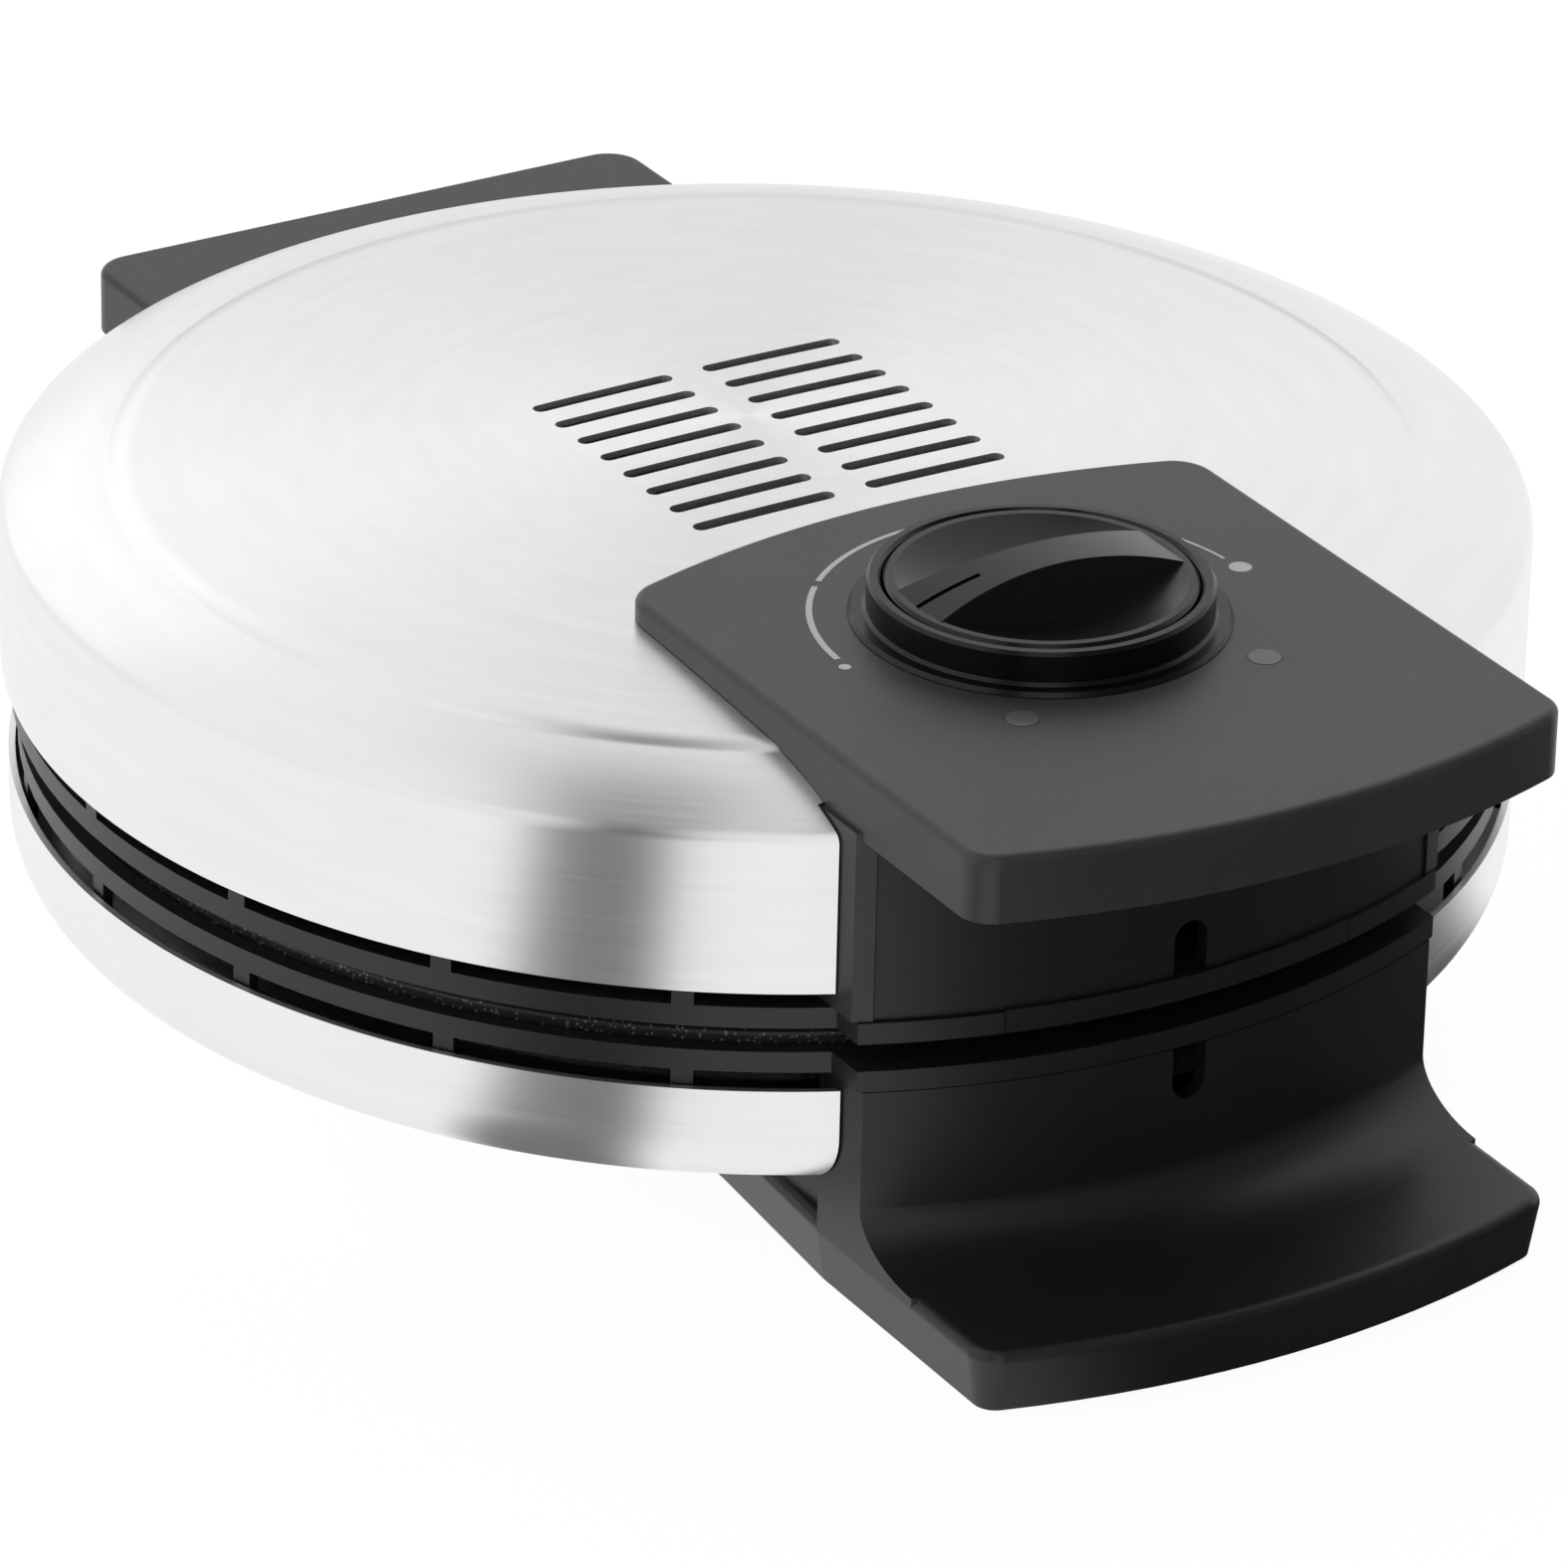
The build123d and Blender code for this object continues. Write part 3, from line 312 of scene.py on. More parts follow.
class Wiring:
    """A new material with its Principled shader and helpers to wire it."""

    # Values between which a noise texture mostly runs
    NOISE = (0.3, 0.7)

    def __init__(self, name: str) -> None:
        """Makes the material.

        Args:
            name: name of the finish.
        """
        self.material = bpy.data.materials.new(name)
        self.material.use_nodes = True
        self.tree = self.material.node_tree
        self.shader = self.tree.nodes["Principled BSDF"]
        self.place = self.tree.nodes.new("ShaderNodeTexCoord").outputs["Object"]

    def group(self, tree: bpy.types.NodeTree, **values: float) -> bpy.types.Node:
        """Places a shared group.

        Args:
            tree: the group.
            values: its number inputs by name.

        Returns:
            The group node, with its Vector wired to the object's own coordinates.
        """
        node = self.tree.nodes.new("ShaderNodeGroup")
        node.node_tree = tree
        self.tree.links.new(self.place, node.inputs["Vector"])
        for label, value in values.items():
            node.inputs[label].default_value = value
        return node

    def bump(self, height: bpy.types.NodeSocket, depth: float, strength: float) -> None:
        """Feeds a height into the shader's normal.

        Args:
            height: the height socket.
            depth: how deep the relief is, in metres.
            strength: share of the effect.
        """
        node = self.tree.nodes.new("ShaderNodeBump")
        node.inputs["Distance"].default_value = depth
        node.inputs["Strength"].default_value = strength
        self.tree.links.new(height, node.inputs["Height"])
        self.tree.links.new(node.outputs[0], self.shader.inputs["Normal"])

    def between(self, value: bpy.types.NodeSocket, low: float, high: float) -> bpy.types.NodeSocket:
        """Maps a noise value to a range.

        Args:
            value: a noise socket.
            low: result at the noise's low end.
            high: result at its high end.

        Returns:
            The mapped socket.
        """
        node = self.tree.nodes.new("ShaderNodeMapRange")
        for label, number in zip(("From Min", "From Max", "To Min", "To Max"), (*self.NOISE, low, high)):
            node.inputs[label].default_value = number
        self.tree.links.new(value, node.inputs["Value"])
        return node.outputs["Result"]

    def roughen(self, value: bpy.types.NodeSocket, roughness: float, spread: Span) -> None:
        """Lets a noise value vary the roughness.

        Args:
            value: a noise socket.
            roughness: the plain roughness.
            spread: shares of it at the noise's low and high end.
        """
        rough = self.between(value, roughness * spread[0], roughness * spread[1])
        self.tree.links.new(rough, self.shader.inputs["Roughness"])

    def tint(self, value: bpy.types.NodeSocket, dark: tuple[float, ...], light: tuple[float, ...]) -> None:
        """Mixes two colours into the base colour.

        Args:
            value: mask from 0 to 1.
            dark: colour at 0.
            light: colour at 1.
        """
        node = self.tree.nodes.new("ShaderNodeMix")
        node.data_type = "RGBA"
        node.inputs["A"].default_value = (*dark, 1.0)
        node.inputs["B"].default_value = (*light, 1.0)
        self.tree.links.new(value, node.inputs["Factor"])
        self.tree.links.new(node.outputs["Result"], self.shader.inputs["Base Color"])

    def mottle(self, value: bpy.types.NodeSocket, colour: Colour, shades: Span) -> None:
        """Lets a noise value vary the base colour's lightness.

        Args:
            value: a noise socket.
            colour: the plain colour.
            shades: shares of it at the noise's low and high end.
        """
        dark, light = (tuple(channel * shade for channel in colour) for shade in shades)
        self.tint(self.between(value, 0.0, 1.0), dark, light)

    def put(self, **values: object) -> None:
        """Sets constants on the shader's own sockets.

        Args:
            values: socket names, with spaces as underscores, and their values.
        """
        for label, value in values.items():
            self.shader.inputs[label.replace("_", " ")].default_value = value


@dataclass(frozen=True)
class BrushedSteel:
    """Stainless sheet brushed round the upright axis, which spreads its highlights along the height."""

    name: str
    colour: Colour = (0.88, 0.88, 0.88)
    roughness: float = 0.30
    anisotropy: float = 0.8
    quarter_turn: float = 0.25
    lines: float = 2600.0
    streaks: float = 2.2
    shades: Span = (0.975, 1.015)
    spread: Span = (0.92, 1.1)
    depth: float = 0.000006
    relief: float = 0.35

    def material(self) -> bpy.types.Material:
        """Builds the finish.

        Returns:
            The material.
        """
        wiring = Wiring(self.name)
        brush = wiring.group(GROUPS.brushing(), Lines=self.lines, Streaks=self.streaks).outputs
        wiring.put(Metallic=1.0, Anisotropic=self.anisotropy, Anisotropic_Rotation=self.quarter_turn)
        wiring.mottle(brush["Mask"], self.colour, self.shades)
        wiring.roughen(brush["Height"], self.roughness, self.spread)
        wiring.bump(brush["Height"], self.depth, self.relief)
        tangent = wiring.tree.nodes.new("ShaderNodeTangent")
        tangent.direction_type = "RADIAL"
        tangent.axis = "Z"
        wiring.tree.links.new(tangent.outputs[0], wiring.shader.inputs["Tangent"])
        return wiring.material


@dataclass(frozen=True)
class MouldedPlastic:
    """Satin plastic with the fine grain of its mould."""

    name: str
    colour: Colour
    roughness: float
    grain: float = 2600.0
    depth: float = 0.00001
    relief: float = 0.5
    shades: Span = (0.88, 1.12)
    spread: Span = (0.9, 1.1)

    def material(self) -> bpy.types.Material:
        """Builds the finish.

        Returns:
            The material.
        """
        wiring = Wiring(self.name)
        pebble = wiring.group(GROUPS.grain(), Scale=self.grain).outputs
        wiring.mottle(pebble["Mask"], self.colour, self.shades)
        wiring.roughen(pebble["Height"], self.roughness, self.spread)
        wiring.bump(pebble["Height"], self.depth, self.relief)
        return wiring.material


@dataclass(frozen=True)
class GlossPlastic:
    """Glossy moulded plastic with a faint ripple."""

    name: str
    colour: Colour
    roughness: float
    ior: float = 1.5
    ripple: float = 420.0
    depth: float = 0.000004
    relief: float = 0.3
    spread: Span = (0.8, 1.25)

    def material(self) -> bpy.types.Material:
        """Builds the finish.

        Returns:
            The material.
        """
        wiring = Wiring(self.name)
        ripple = wiring.group(GROUPS.grain(), Scale=self.ripple).outputs
        wiring.put(Base_Color=(*self.colour, 1.0), IOR=self.ior)
        wiring.roughen(ripple["Mask"], self.roughness, self.spread)
        wiring.bump(ripple["Height"], self.depth, self.relief)
        return wiring.material


@dataclass(frozen=True)
class NonStick:
    """Dark cast plate with a sparkling non-stick coating."""

    name: str
    colour: Colour = (0.02, 0.02, 0.021)
    flake_colour: Colour = (0.20, 0.20, 0.19)
    flake_scale: float = 2000.0
    flake_share: float = 0.2
    metallic: float = 0.25
    roughness: float = 0.36
    spread: Span = (0.8, 1.3)
    grain: float = 1800.0
    depth: float = 0.00005
    relief: float = 0.8

    def material(self) -> bpy.types.Material:
        """Builds the finish.

        Returns:
            The material.
        """
        wiring = Wiring(self.name)
        flakes = wiring.group(GROUPS.sparkle(), Scale=self.flake_scale, Amount=self.flake_share).outputs
        pebble = wiring.group(GROUPS.grain(), Scale=self.grain).outputs
        wiring.put(Metallic=self.metallic)
        wiring.tint(flakes["Mask"], self.colour, self.flake_colour)
        wiring.roughen(pebble["Height"], self.roughness, self.spread)
        wiring.bump(pebble["Height"], self.depth, self.relief)
        return wiring.material


@dataclass(frozen=True)
class PlainMetal:
    """Bare metal with a light mill grain."""

    name: str
    colour: Colour
    roughness: float
    grain: float = 900.0
    depth: float = 0.00001
    relief: float = 0.4
    shades: Span = (0.85, 1.0)
    spread: Span = (0.8, 1.3)

    def material(self) -> bpy.types.Material:
        """Builds the finish.

        Returns:
            The material.
        """
        wiring = Wiring(self.name)
        mill = wiring.group(GROUPS.grain(), Scale=self.grain).outputs
        wiring.put(Metallic=1.0)
        wiring.mottle(mill["Mask"], self.colour, self.shades)
        wiring.roughen(mill["Height"], self.roughness, self.spread)
        wiring.bump(mill["Height"], self.depth, self.relief)
        return wiring.material


@dataclass(frozen=True)
class PrintedInk:
    """Pad-printed ink, flat and slightly rough."""

    name: str
    colour: Colour = (0.66, 0.66, 0.66)
    roughness: float = 0.6
    speck: float = 5200.0
    shades: Span = (0.92, 1.0)

    def material(self) -> bpy.types.Material:
        """Builds the finish.

        Returns:
            The material.
        """
        wiring = Wiring(self.name)
        speck = wiring.group(GROUPS.grain(), Scale=self.speck).outputs
        wiring.mottle(speck["Height"], self.colour, self.shades)
        wiring.put(Roughness=self.roughness)
        return wiring.material


class Finishes:
    """Every finish of the object, each made once."""

    def __init__(self) -> None:
        """Builds the finishes."""
        self.steel = BrushedSteel("spun_stainless").material()
        self.black = MouldedPlastic("black_satin_plastic", (0.0135, 0.0135, 0.014), 0.38).material()
        self.panel = MouldedPlastic("grey_satin_plastic", (0.038, 0.039, 0.041), 0.40).material()
        self.dial_gloss = GlossPlastic("gloss_black_plastic", (0.003, 0.003, 0.0033), 0.24, ior=1.38).material()
        self.lens = GlossPlastic("smoke_lens", (0.10, 0.10, 0.105), 0.2).material()
        self.plate = NonStick("sparkling_non_stick").material()
        self.sheet = PlainMetal("pressed_aluminium", (0.75, 0.76, 0.77), 0.32).material()
        self.heater = PlainMetal("heater_sheath", (0.30, 0.29, 0.27), 0.42).material()
        self.bright = PlainMetal("bright_steel", (0.62, 0.62, 0.62), 0.24).material()
        rubber = MouldedPlastic("soft_rubber", (0.012, 0.012, 0.012), 0.75, grain=1400.0, depth=0.00003)
        self.rubber = rubber.material()
        self.board = GlossPlastic("lacquered_board", (0.02, 0.10, 0.04), 0.25).material()
        self.ceramic = MouldedPlastic("white_ceramic", (0.62, 0.60, 0.55), 0.5).material()
        self.ink = PrintedInk("light_grey_ink").material()


def dress(finish: bpy.types.Material, *names: str) -> None:
    """Gives CAD nodes a finish.

    Args:
        finish: the material.
        names: the nodes.
    """
    for name in names:
        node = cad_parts[name]
        node.data.materials.clear()
        node.data.materials.append(finish)
        LOG.info("dressed %s in %s", name, finish.name)


def settle(
    mesh: bmesh.types.BMesh, name: str, finish: bpy.types.Material, body: Body, angle: float = 35.0
) -> bpy.types.Object:
    """Turns a bmesh into a piece that rides on a body.

    Args:
        mesh: the finished bmesh, which is freed.
        name: name of the piece.
        finish: its material.
        body: the CAD body that carries it.
        angle: edges sharper than this stay sharp, in degrees.

    Returns:
        The piece.
    """
    bmesh.ops.recalc_face_normals(mesh, faces=mesh.faces)
    data = bpy.data.meshes.new(name)
    mesh.to_mesh(data)
    mesh.free()
    data.materials.append(finish)
    piece = bpy.data.objects.new(name, data)
    bpy.context.scene.collection.objects.link(piece)
    data.shade_smooth()
    data.set_sharp_from_angle(angle=math.radians(angle))
    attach(piece, body.value)
    LOG.info("built %s with %d faces on %s", name, len(data.polygons), body.value)
    return piece


def curve_to(start: Point, heading: float, end: Point, steps: int) -> tuple[list[Point], float]:
    """Points of the arc that leaves a point in a given direction and ends at another.

    Args:
        start: first point, as radius and height.
        heading: direction in radians, from the radius's axis.
        end: last point.
        steps: number of points after the first.

    Returns:
        The points after the first, and the direction at the end.
    """
    run, rise = end[0] - start[0], end[1] - start[1]
    chord = math.hypot(run, rise)
    lean = math.remainder(math.atan2(rise, run) - heading, 2 * math.pi)
    points = []
    for step in range(1, steps + 1):
        share = step / steps
        reach = chord * (math.sin(lean * share) / math.sin(lean) if abs(lean) > STRAIGHT else share)
        turn = heading + lean * share
        points.append((start[0] + reach * math.cos(turn), start[1] + reach * math.sin(turn)))
    return points, heading + 2 * lean


def prism(mesh: bmesh.types.BMesh, outline: list[Point], low: float, high: float) -> None:
    """Adds an upright prism.

    Args:
        mesh: bmesh that gets it.
        outline: its plan, counter-clockwise.
        low: height of its bottom.
        high: height of its top.
    """
    floor = [mesh.verts.new((x, y, low)) for x, y in outline]
    roof = [mesh.verts.new((x, y, high)) for x, y in outline]
    mesh.faces.new(list(reversed(floor)))
    mesh.faces.new(roof)
    for index in range(len(outline)):
        following = (index + 1) % len(outline)
        mesh.faces.new((floor[index], floor[following], roof[following], roof[index]))


def rectangle(half_width: float, front: float, rear: float) -> list[Point]:
    """Plan of a rectangle that is centred on x.

    Args:
        half_width: half its width.
        front: its least y.
        rear: its greatest y.

    Returns:
        The plan, counter-clockwise.
    """
    return [(-half_width, front), (half_width, front), (half_width, rear), (-half_width, rear)]


@dataclass(frozen=True)
class SpunSkin:
    """A turned steel skin, with openings cut straight down through it."""

    name: str
    outer: tuple[Point, ...]
    sheet: float = 0.001
    segments: int = 320
    sharp_angle: float = 55.0
    axis_radius: float = 1e-7

    def _inner(self) -> list[Point]:
        """Moves the outer profile in by the sheet's thickness, whether the skin opens upward or downward.

        Returns:
            The inner profile's points, in the outer one's order.
        """
        last = len(self.outer) - 1
        depth = math.copysign(self.sheet, self.outer[-1][1] - self.outer[0][1])
        points = []
        for index, (radius, height) in enumerate(self.outer):
            before, after = self.outer[max(index - 1, 0)], self.outer[min(index + 1, last)]
            run, rise = after[0] - before[0], after[1] - before[1]
            length = math.hypot(run, rise)
            points.append((max(radius - depth * rise / length, 0.0), height + depth * run / length))
        return points

    def _whole(self) -> bmesh.types.BMesh:
        """Turns the closed profile round the upright axis.

        Returns:
            The skin without its openings.
        """
        mesh = bmesh.new()
        rings = []
        for radius, height in (*self.outer, *reversed(self._inner())):
            if radius < self.axis_radius:
                rings.append([mesh.verts.new((0.0, 0.0, height))] * self.segments)
                continue
            turns = (2 * math.pi * step / self.segments for step in range(self.segments))
            rings.append([mesh.verts.new((radius * math.cos(t), radius * math.sin(t), height)) for t in turns])
        for ring, following in zip(rings, rings[1:] + rings[:1]):
            if ring[0] is ring[1] and following[0] is following[1]:
                continue
            for step in range(self.segments):
                after = (step + 1) % self.segments
                corners = [ring[step], ring[after], following[after], following[step]]
                mesh.faces.new(list(dict.fromkeys(corners)))
        return mesh

    def _blank(self, mesh: bmesh.types.BMesh, name: str) -> bpy.types.Object:
        """Turns a bmesh into a plain object for the cut.

        Args:
            mesh: the closed bmesh, which is freed.
            name: name of the object.

        Returns:
            The object.
        """
        bmesh.ops.recalc_face_normals(mesh, faces=mesh.faces)
        data = bpy.data.meshes.new(name)
        mesh.to_mesh(data)
        mesh.free()
        blank = bpy.data.objects.new(name, data)
        bpy.context.scene.collection.objects.link(blank)
        return blank

    def build(self, cuts: list[Cut], finish: bpy.types.Material, body: Body) -> bpy.types.Object:
        """Builds the skin and cuts its openings.

        Args:
            cuts: plan, low and high of each opening.
            finish: its material.
            body: the body that carries it.

        Returns:
            The piece, in place of the CAD node of the same name.
        """
        tool = bmesh.new()
        for outline, low, high in cuts:
            prism(tool, outline, low, high)
        skin = self._blank(self._whole(), self.name + "_whole")
        cutter = self._blank(tool, self.name + "_tool")
        cutting = skin.modifiers.new("openings", "BOOLEAN")
        cutting.operation = "DIFFERENCE"
        cutting.solver = "EXACT"
        cutting.object = cutter
        ready = bmesh.new()
        ready.from_object(skin, bpy.context.evaluated_depsgraph_get())
        for blank in (skin, cutter):
            bpy.data.objects.remove(blank)
        piece = settle(ready, self.name + "_spun", finish, body, angle=self.sharp_angle)
        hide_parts(self.name)
        return piece


@dataclass(frozen=True)
class LidSkin:
    """Sizes of the lid's skin, in metres, with its shoulder's slope in degrees."""

    radius: float = 0.1145
    edge: float = 0.0506
    edge_row: float = 0.0004
    wall_top: float = 0.0740
    shoulder_round: float = 0.0020
    shoulder_slope: float = 27.0
    crease_radius: float = 0.0980
    crease_height: float = 0.0807
    crease_step: float = 0.0004
    dome: float = 0.0850
    rounding_steps: int = 8
    flank_steps: int = 16
    dome_steps: int = 30
    slot_rows: int = 8
    slot_pitch: float = 0.00672
    slot_length: float = 0.0239
    slot_width: float = 0.0025
    slot_inner: float = 0.0028
    slot_first: float = 0.0235
    slot_end_steps: int = 12
    leg_half_width: float = 0.0500
    leg_rear: float = -0.0970
    window_half_width: float = 0.0420
    window_rear: float = -0.0460
    tail_half_width: float = 0.0489
    tail_front: float = 0.0900
    tail_top: float = 0.0739
    cut_reach: float = 0.13
    cut_low: float = 0.049
    cut_high: float = 0.10

    def profile(self) -> tuple[Point, ...]:
        """Outer half section, from the centre of the dome to the lower edge.

        Returns:
            The points.
        """
        slope = math.radians(self.shoulder_slope)
        shoulder = (
            self.radius - self.shoulder_round * (1 - math.sin(slope)),
            self.wall_top + self.shoulder_round * math.cos(slope),
        )
        crease = (self.crease_radius, self.crease_height)
        ledge = (self.crease_radius - self.crease_step, self.crease_height + self.crease_step)
        wall = [(self.radius, height) for height in (self.edge, self.edge + self.edge_row, self.wall_top)]
        rounding, heading = curve_to(wall[-1], math.pi / 2, shoulder, self.rounding_steps)
        flank, _ = curve_to(shoulder, heading, crease, self.flank_steps)
        dome_slope = 2 * math.atan2(self.dome - ledge[1], ledge[0])
        rise, _ = curve_to(ledge, math.pi - dome_slope, (0.0, self.dome), self.dome_steps)
        return tuple(reversed([*wall, *rounding, *flank, ledge, *rise[:-1], (0.0, self.dome)]))

    def _slots(self) -> list[list[Point]]:
        """Plans of the vent slots, two columns of rows.

        Returns:
            The plans.
        """
        half, reach = self.slot_width / 2, (self.slot_length - self.slot_width) / 2
        middle = self.slot_inner + self.slot_length / 2
        steps = self.slot_end_steps
        turns = [math.radians(-90 + 180 * step / steps) for step in range(steps + 1)]
        plans = []
        for side in (-1, 1):
            for row in range(self.slot_rows):
                y = self.slot_first - row * self.slot_pitch
                right = [(side * middle + reach + half * math.cos(t), y + half * math.sin(t)) for t in turns]
                left = [(side * middle - reach - half * math.cos(t), y - half * math.sin(t)) for t in turns]
                plans.append(right + left)
        return plans

    def cuts(self) -> list[Cut]:
        """Openings for the panel and its legs, the tail and the slots.

        Returns:
            Plan, low and high of each.
        """
        right = [
            (self.leg_half_width, -self.cut_reach),
            (self.leg_half_width, self.leg_rear),
            (self.window_half_width, self.leg_rear),
            (self.window_half_width, self.window_rear),
        ]
        left = [(-x, y) for x, y in reversed(right[1:])]
        window = [(-self.leg_half_width, -self.cut_reach), *right, *left]
        tail = rectangle(self.tail_half_width, self.tail_front, self.cut_reach)
        slots = [(plan, self.crease_height, self.cut_high) for plan in self._slots()]
        return [(window, self.cut_low, self.cut_high), (tail, self.cut_low, self.tail_top), *slots]


@dataclass(frozen=True)
class PanSkin:
    """Sizes of the base's skin, in metres."""

    radius: float = 0.1135
    bottom: float = 0.0172
    corner: float = 0.0095
    corner_steps: int = 14
    top: float = 0.0345
    notch_half_width: float = 0.0485
    notch_rear: float = -0.0965
    tail_half_width: float = 0.0489
    tail_front: float = 0.0900
    tail_lift: float = 0.001
    cut_reach: float = 0.13
    cut_low: float = 0.01
    cut_high: float = 0.05

    def profile(self) -> tuple[Point, ...]:
        """Outer half section, from the centre of the floor to the upper edge.

        Returns:
            The points.
        """
        flat = self.radius - self.corner
        corner_end = (self.radius, self.bottom + self.corner)
        turning, _ = curve_to((flat, self.bottom), 0.0, corner_end, self.corner_steps)
        floor = ((share * flat, self.bottom) for share in (0.0, 0.5, 1.0))
        return (*floor, *turning, (self.radius, self.top))

    def cuts(self) -> list[Cut]:
        """Openings for the front wall and the rear housing.

        Returns:
            Plan, low and high of each.
        """
        notch = rectangle(self.notch_half_width, -self.cut_reach, self.notch_rear)
        tail = rectangle(self.tail_half_width, self.tail_front, self.cut_reach)
        return [(notch, self.cut_low, self.cut_high), (tail, self.bottom + self.tail_lift, self.cut_high)]


@dataclass(frozen=True)
class PanelMarks:
    """Printed marks round the dial, in metres and degrees: a small dot, a swelling arc and a large dot."""

    centre: Point = (0.0, -0.0760)
    arc_radius: float = 0.0333
    dot_shift: float = 0.0004
    small_dot: float = 0.0009
    large_dot: float = 0.0017
    dot_sides: int = 40
    start: float = 182.0
    finish: float = -1.0
    start_gap: float = 4.5
    finish_gap: float = 6.0
    break_at: float = 134.0
    break_half: float = 1.6
    thin: float = 0.00024
    thick: float = 0.00052
    top: float = 0.0867
    lift: float = 0.00004
    steps: int = 96

    def build(self, ink: bpy.types.Material) -> bpy.types.Object:
        """Makes the marks as one thin printed piece.

        Args:
            ink: the printed finish.

        Returns:
            The piece.
        """
        mesh = bmesh.new()
        self._arc(mesh, self.start - self.start_gap, self.break_at + self.break_half)
        self._arc(mesh, self.break_at - self.break_half, self.finish + self.finish_gap)
        self._dot(mesh, self.start, self.small_dot)
        self._dot(mesh, self.finish, self.large_dot)
        return settle(mesh, "panel_marks", ink, Body.LID)

    def _point(self, angle: float, radius: float) -> tuple[float, float, float]:
        """Place on the panel, seen from the dial's axis.

        Args:
            angle: its angle in degrees.
            radius: its distance from the axis.

        Returns:
            The place.
        """
        turn = math.radians(angle)
        x, y = self.centre
        return (x + radius * math.cos(turn), y + radius * math.sin(turn), self.top + self.lift)

    def _arc(self, mesh: bmesh.types.BMesh, begin: float, end: float) -> None:
        """Adds a stretch of the arc, thicker near the small dot.

        Args:
            mesh: bmesh that gets it.
            begin: first angle in degrees.
            end: last angle in degrees.
        """
        previous = None
        for step in range(self.steps + 1):
            angle = begin + (end - begin) * step / self.steps
            share = (angle - self.finish) / (self.start - self.finish)
            half = self.thin + (self.thick - self.thin) * share
            pair = [mesh.verts.new(self._point(angle, self.arc_radius + side * half)) for side in (-1, 1)]
            if previous:
                mesh.faces.new((previous[0], pair[0], pair[1], previous[1]))
            previous = pair

    def _dot(self, mesh: bmesh.types.BMesh, angle: float, radius: float) -> None:
        """Adds a round dot.

        Args:
            mesh: bmesh that gets it.
            angle: its angle in degrees.
            radius: its radius.
        """
        place = Matrix.Translation(self._point(angle, self.arc_radius + self.dot_shift))
        bmesh.ops.create_circle(mesh, cap_ends=True, segments=self.dot_sides, radius=radius, matrix=place)


@dataclass(frozen=True)
class Lid:
    """The lid: its spun skin, ring, plate, heater, reflector and the tail at the hinge."""

    skin: LidSkin = LidSkin()

    def build(self, finishes: Finishes) -> None:
        """Dresses the CAD pieces and spins the skin.

        Args:
            finishes: the object's finishes.
        """
        dress(finishes.black, "upper_ring", "hinge_cover")
        dress(finishes.plate, "upper_plate")
        dress(finishes.heater, "upper_heater")
        dress(finishes.sheet, "upper_reflector")
        dress(finishes.bright, "upper_plate_screws")
        SpunSkin("lid_shell", self.skin.profile()).build(self.skin.cuts(), finishes.steel, Body.LID)


@dataclass(frozen=True)
class ControlPanel:
    """The panel on the lid, which is also the upper handle, with its marks, dial, lamps and thermostat."""

    marks: PanelMarks = PanelMarks()

    def build(self, finishes: Finishes) -> None:
        """Dresses the CAD pieces and prints the marks.

        Args:
            finishes: the object's finishes.
        """
        dress(finishes.panel, "control_housing")
        dress(finishes.black, "front_cover")
        dress(finishes.dial_gloss, "dial_bezel", "dial_cap")
        dress(finishes.lens, "left_lamp_lens", "right_lamp_lens")
        dress(finishes.board, "lamp_board")
        dress(finishes.sheet, "thermostat_bracket")
        dress(finishes.bright, "thermostat", "thermostat_shaft")
        self.marks.build(finishes.ink)


@dataclass(frozen=True)
class Base:
    """The base: its spun pan, mouldings, plate, heater, hinge and underside."""

    skin: PanSkin = PanSkin()

    def build(self, finishes: Finishes) -> None:
        """Dresses the CAD pieces and spins the pan.

        Args:
            finishes: the object's finishes.
        """
        dress(finishes.black, "base_frame", "bottom_cover", "hinge_housing", "lower_ring")
        dress(finishes.plate, "lower_plate")
        dress(finishes.heater, "lower_heater")
        dress(finishes.sheet, "lower_reflector")
        dress(finishes.bright, "bottom_screws", "lower_plate_screws", "hinge_pin")
        dress(finishes.rubber, "rubber_feet", "cord_gland")
        dress(finishes.ceramic, "terminal_block")
        SpunSkin("lower_shell", self.skin.profile()).build(self.skin.cuts(), finishes.steel, Body.BASE)


@dataclass(frozen=True)
class Wedge:
    """A dark wedge of the studio, in degrees, which the walls of the object mirror."""

    azimuth: float
    core: float
    edge: float
    dark: float

    def _mask(self) -> tuple[bpy.types.NodeTree, dict[str, float]]:
        """Group that draws the wedge, and the numbers that go in beside its direction.

        Returns:
            The group and its numbers.
        """
        edge, core = (math.cos(math.radians(angle)) for angle in (self.edge, self.core))
        return GROUPS.azimuth_band(), {"Edge": edge, "Core": core}

    def light(self, tree: bpy.types.NodeTree, vector: bpy.types.NodeSocket) -> bpy.types.NodeSocket:
        """Adds the light that the wedge leaves.

        Args:
            tree: tree that gets the nodes.
            vector: a place or a direction seen from the object's axis.

        Returns:
            A socket that is 1 outside the wedge and 1 less its darkness inside it.
        """
        node = tree.nodes.new("ShaderNodeGroup")
        node.node_tree, numbers = self._mask()
        turn = math.radians(self.azimuth)
        for label, value in {"East": math.cos(turn), "North": math.sin(turn), **numbers}.items():
            node.inputs[label].default_value = value
        tree.links.new(vector, node.inputs["Vector"])
        return reckon(tree, "MULTIPLY_ADD", node.outputs["Mask"], -self.dark, 1.0)


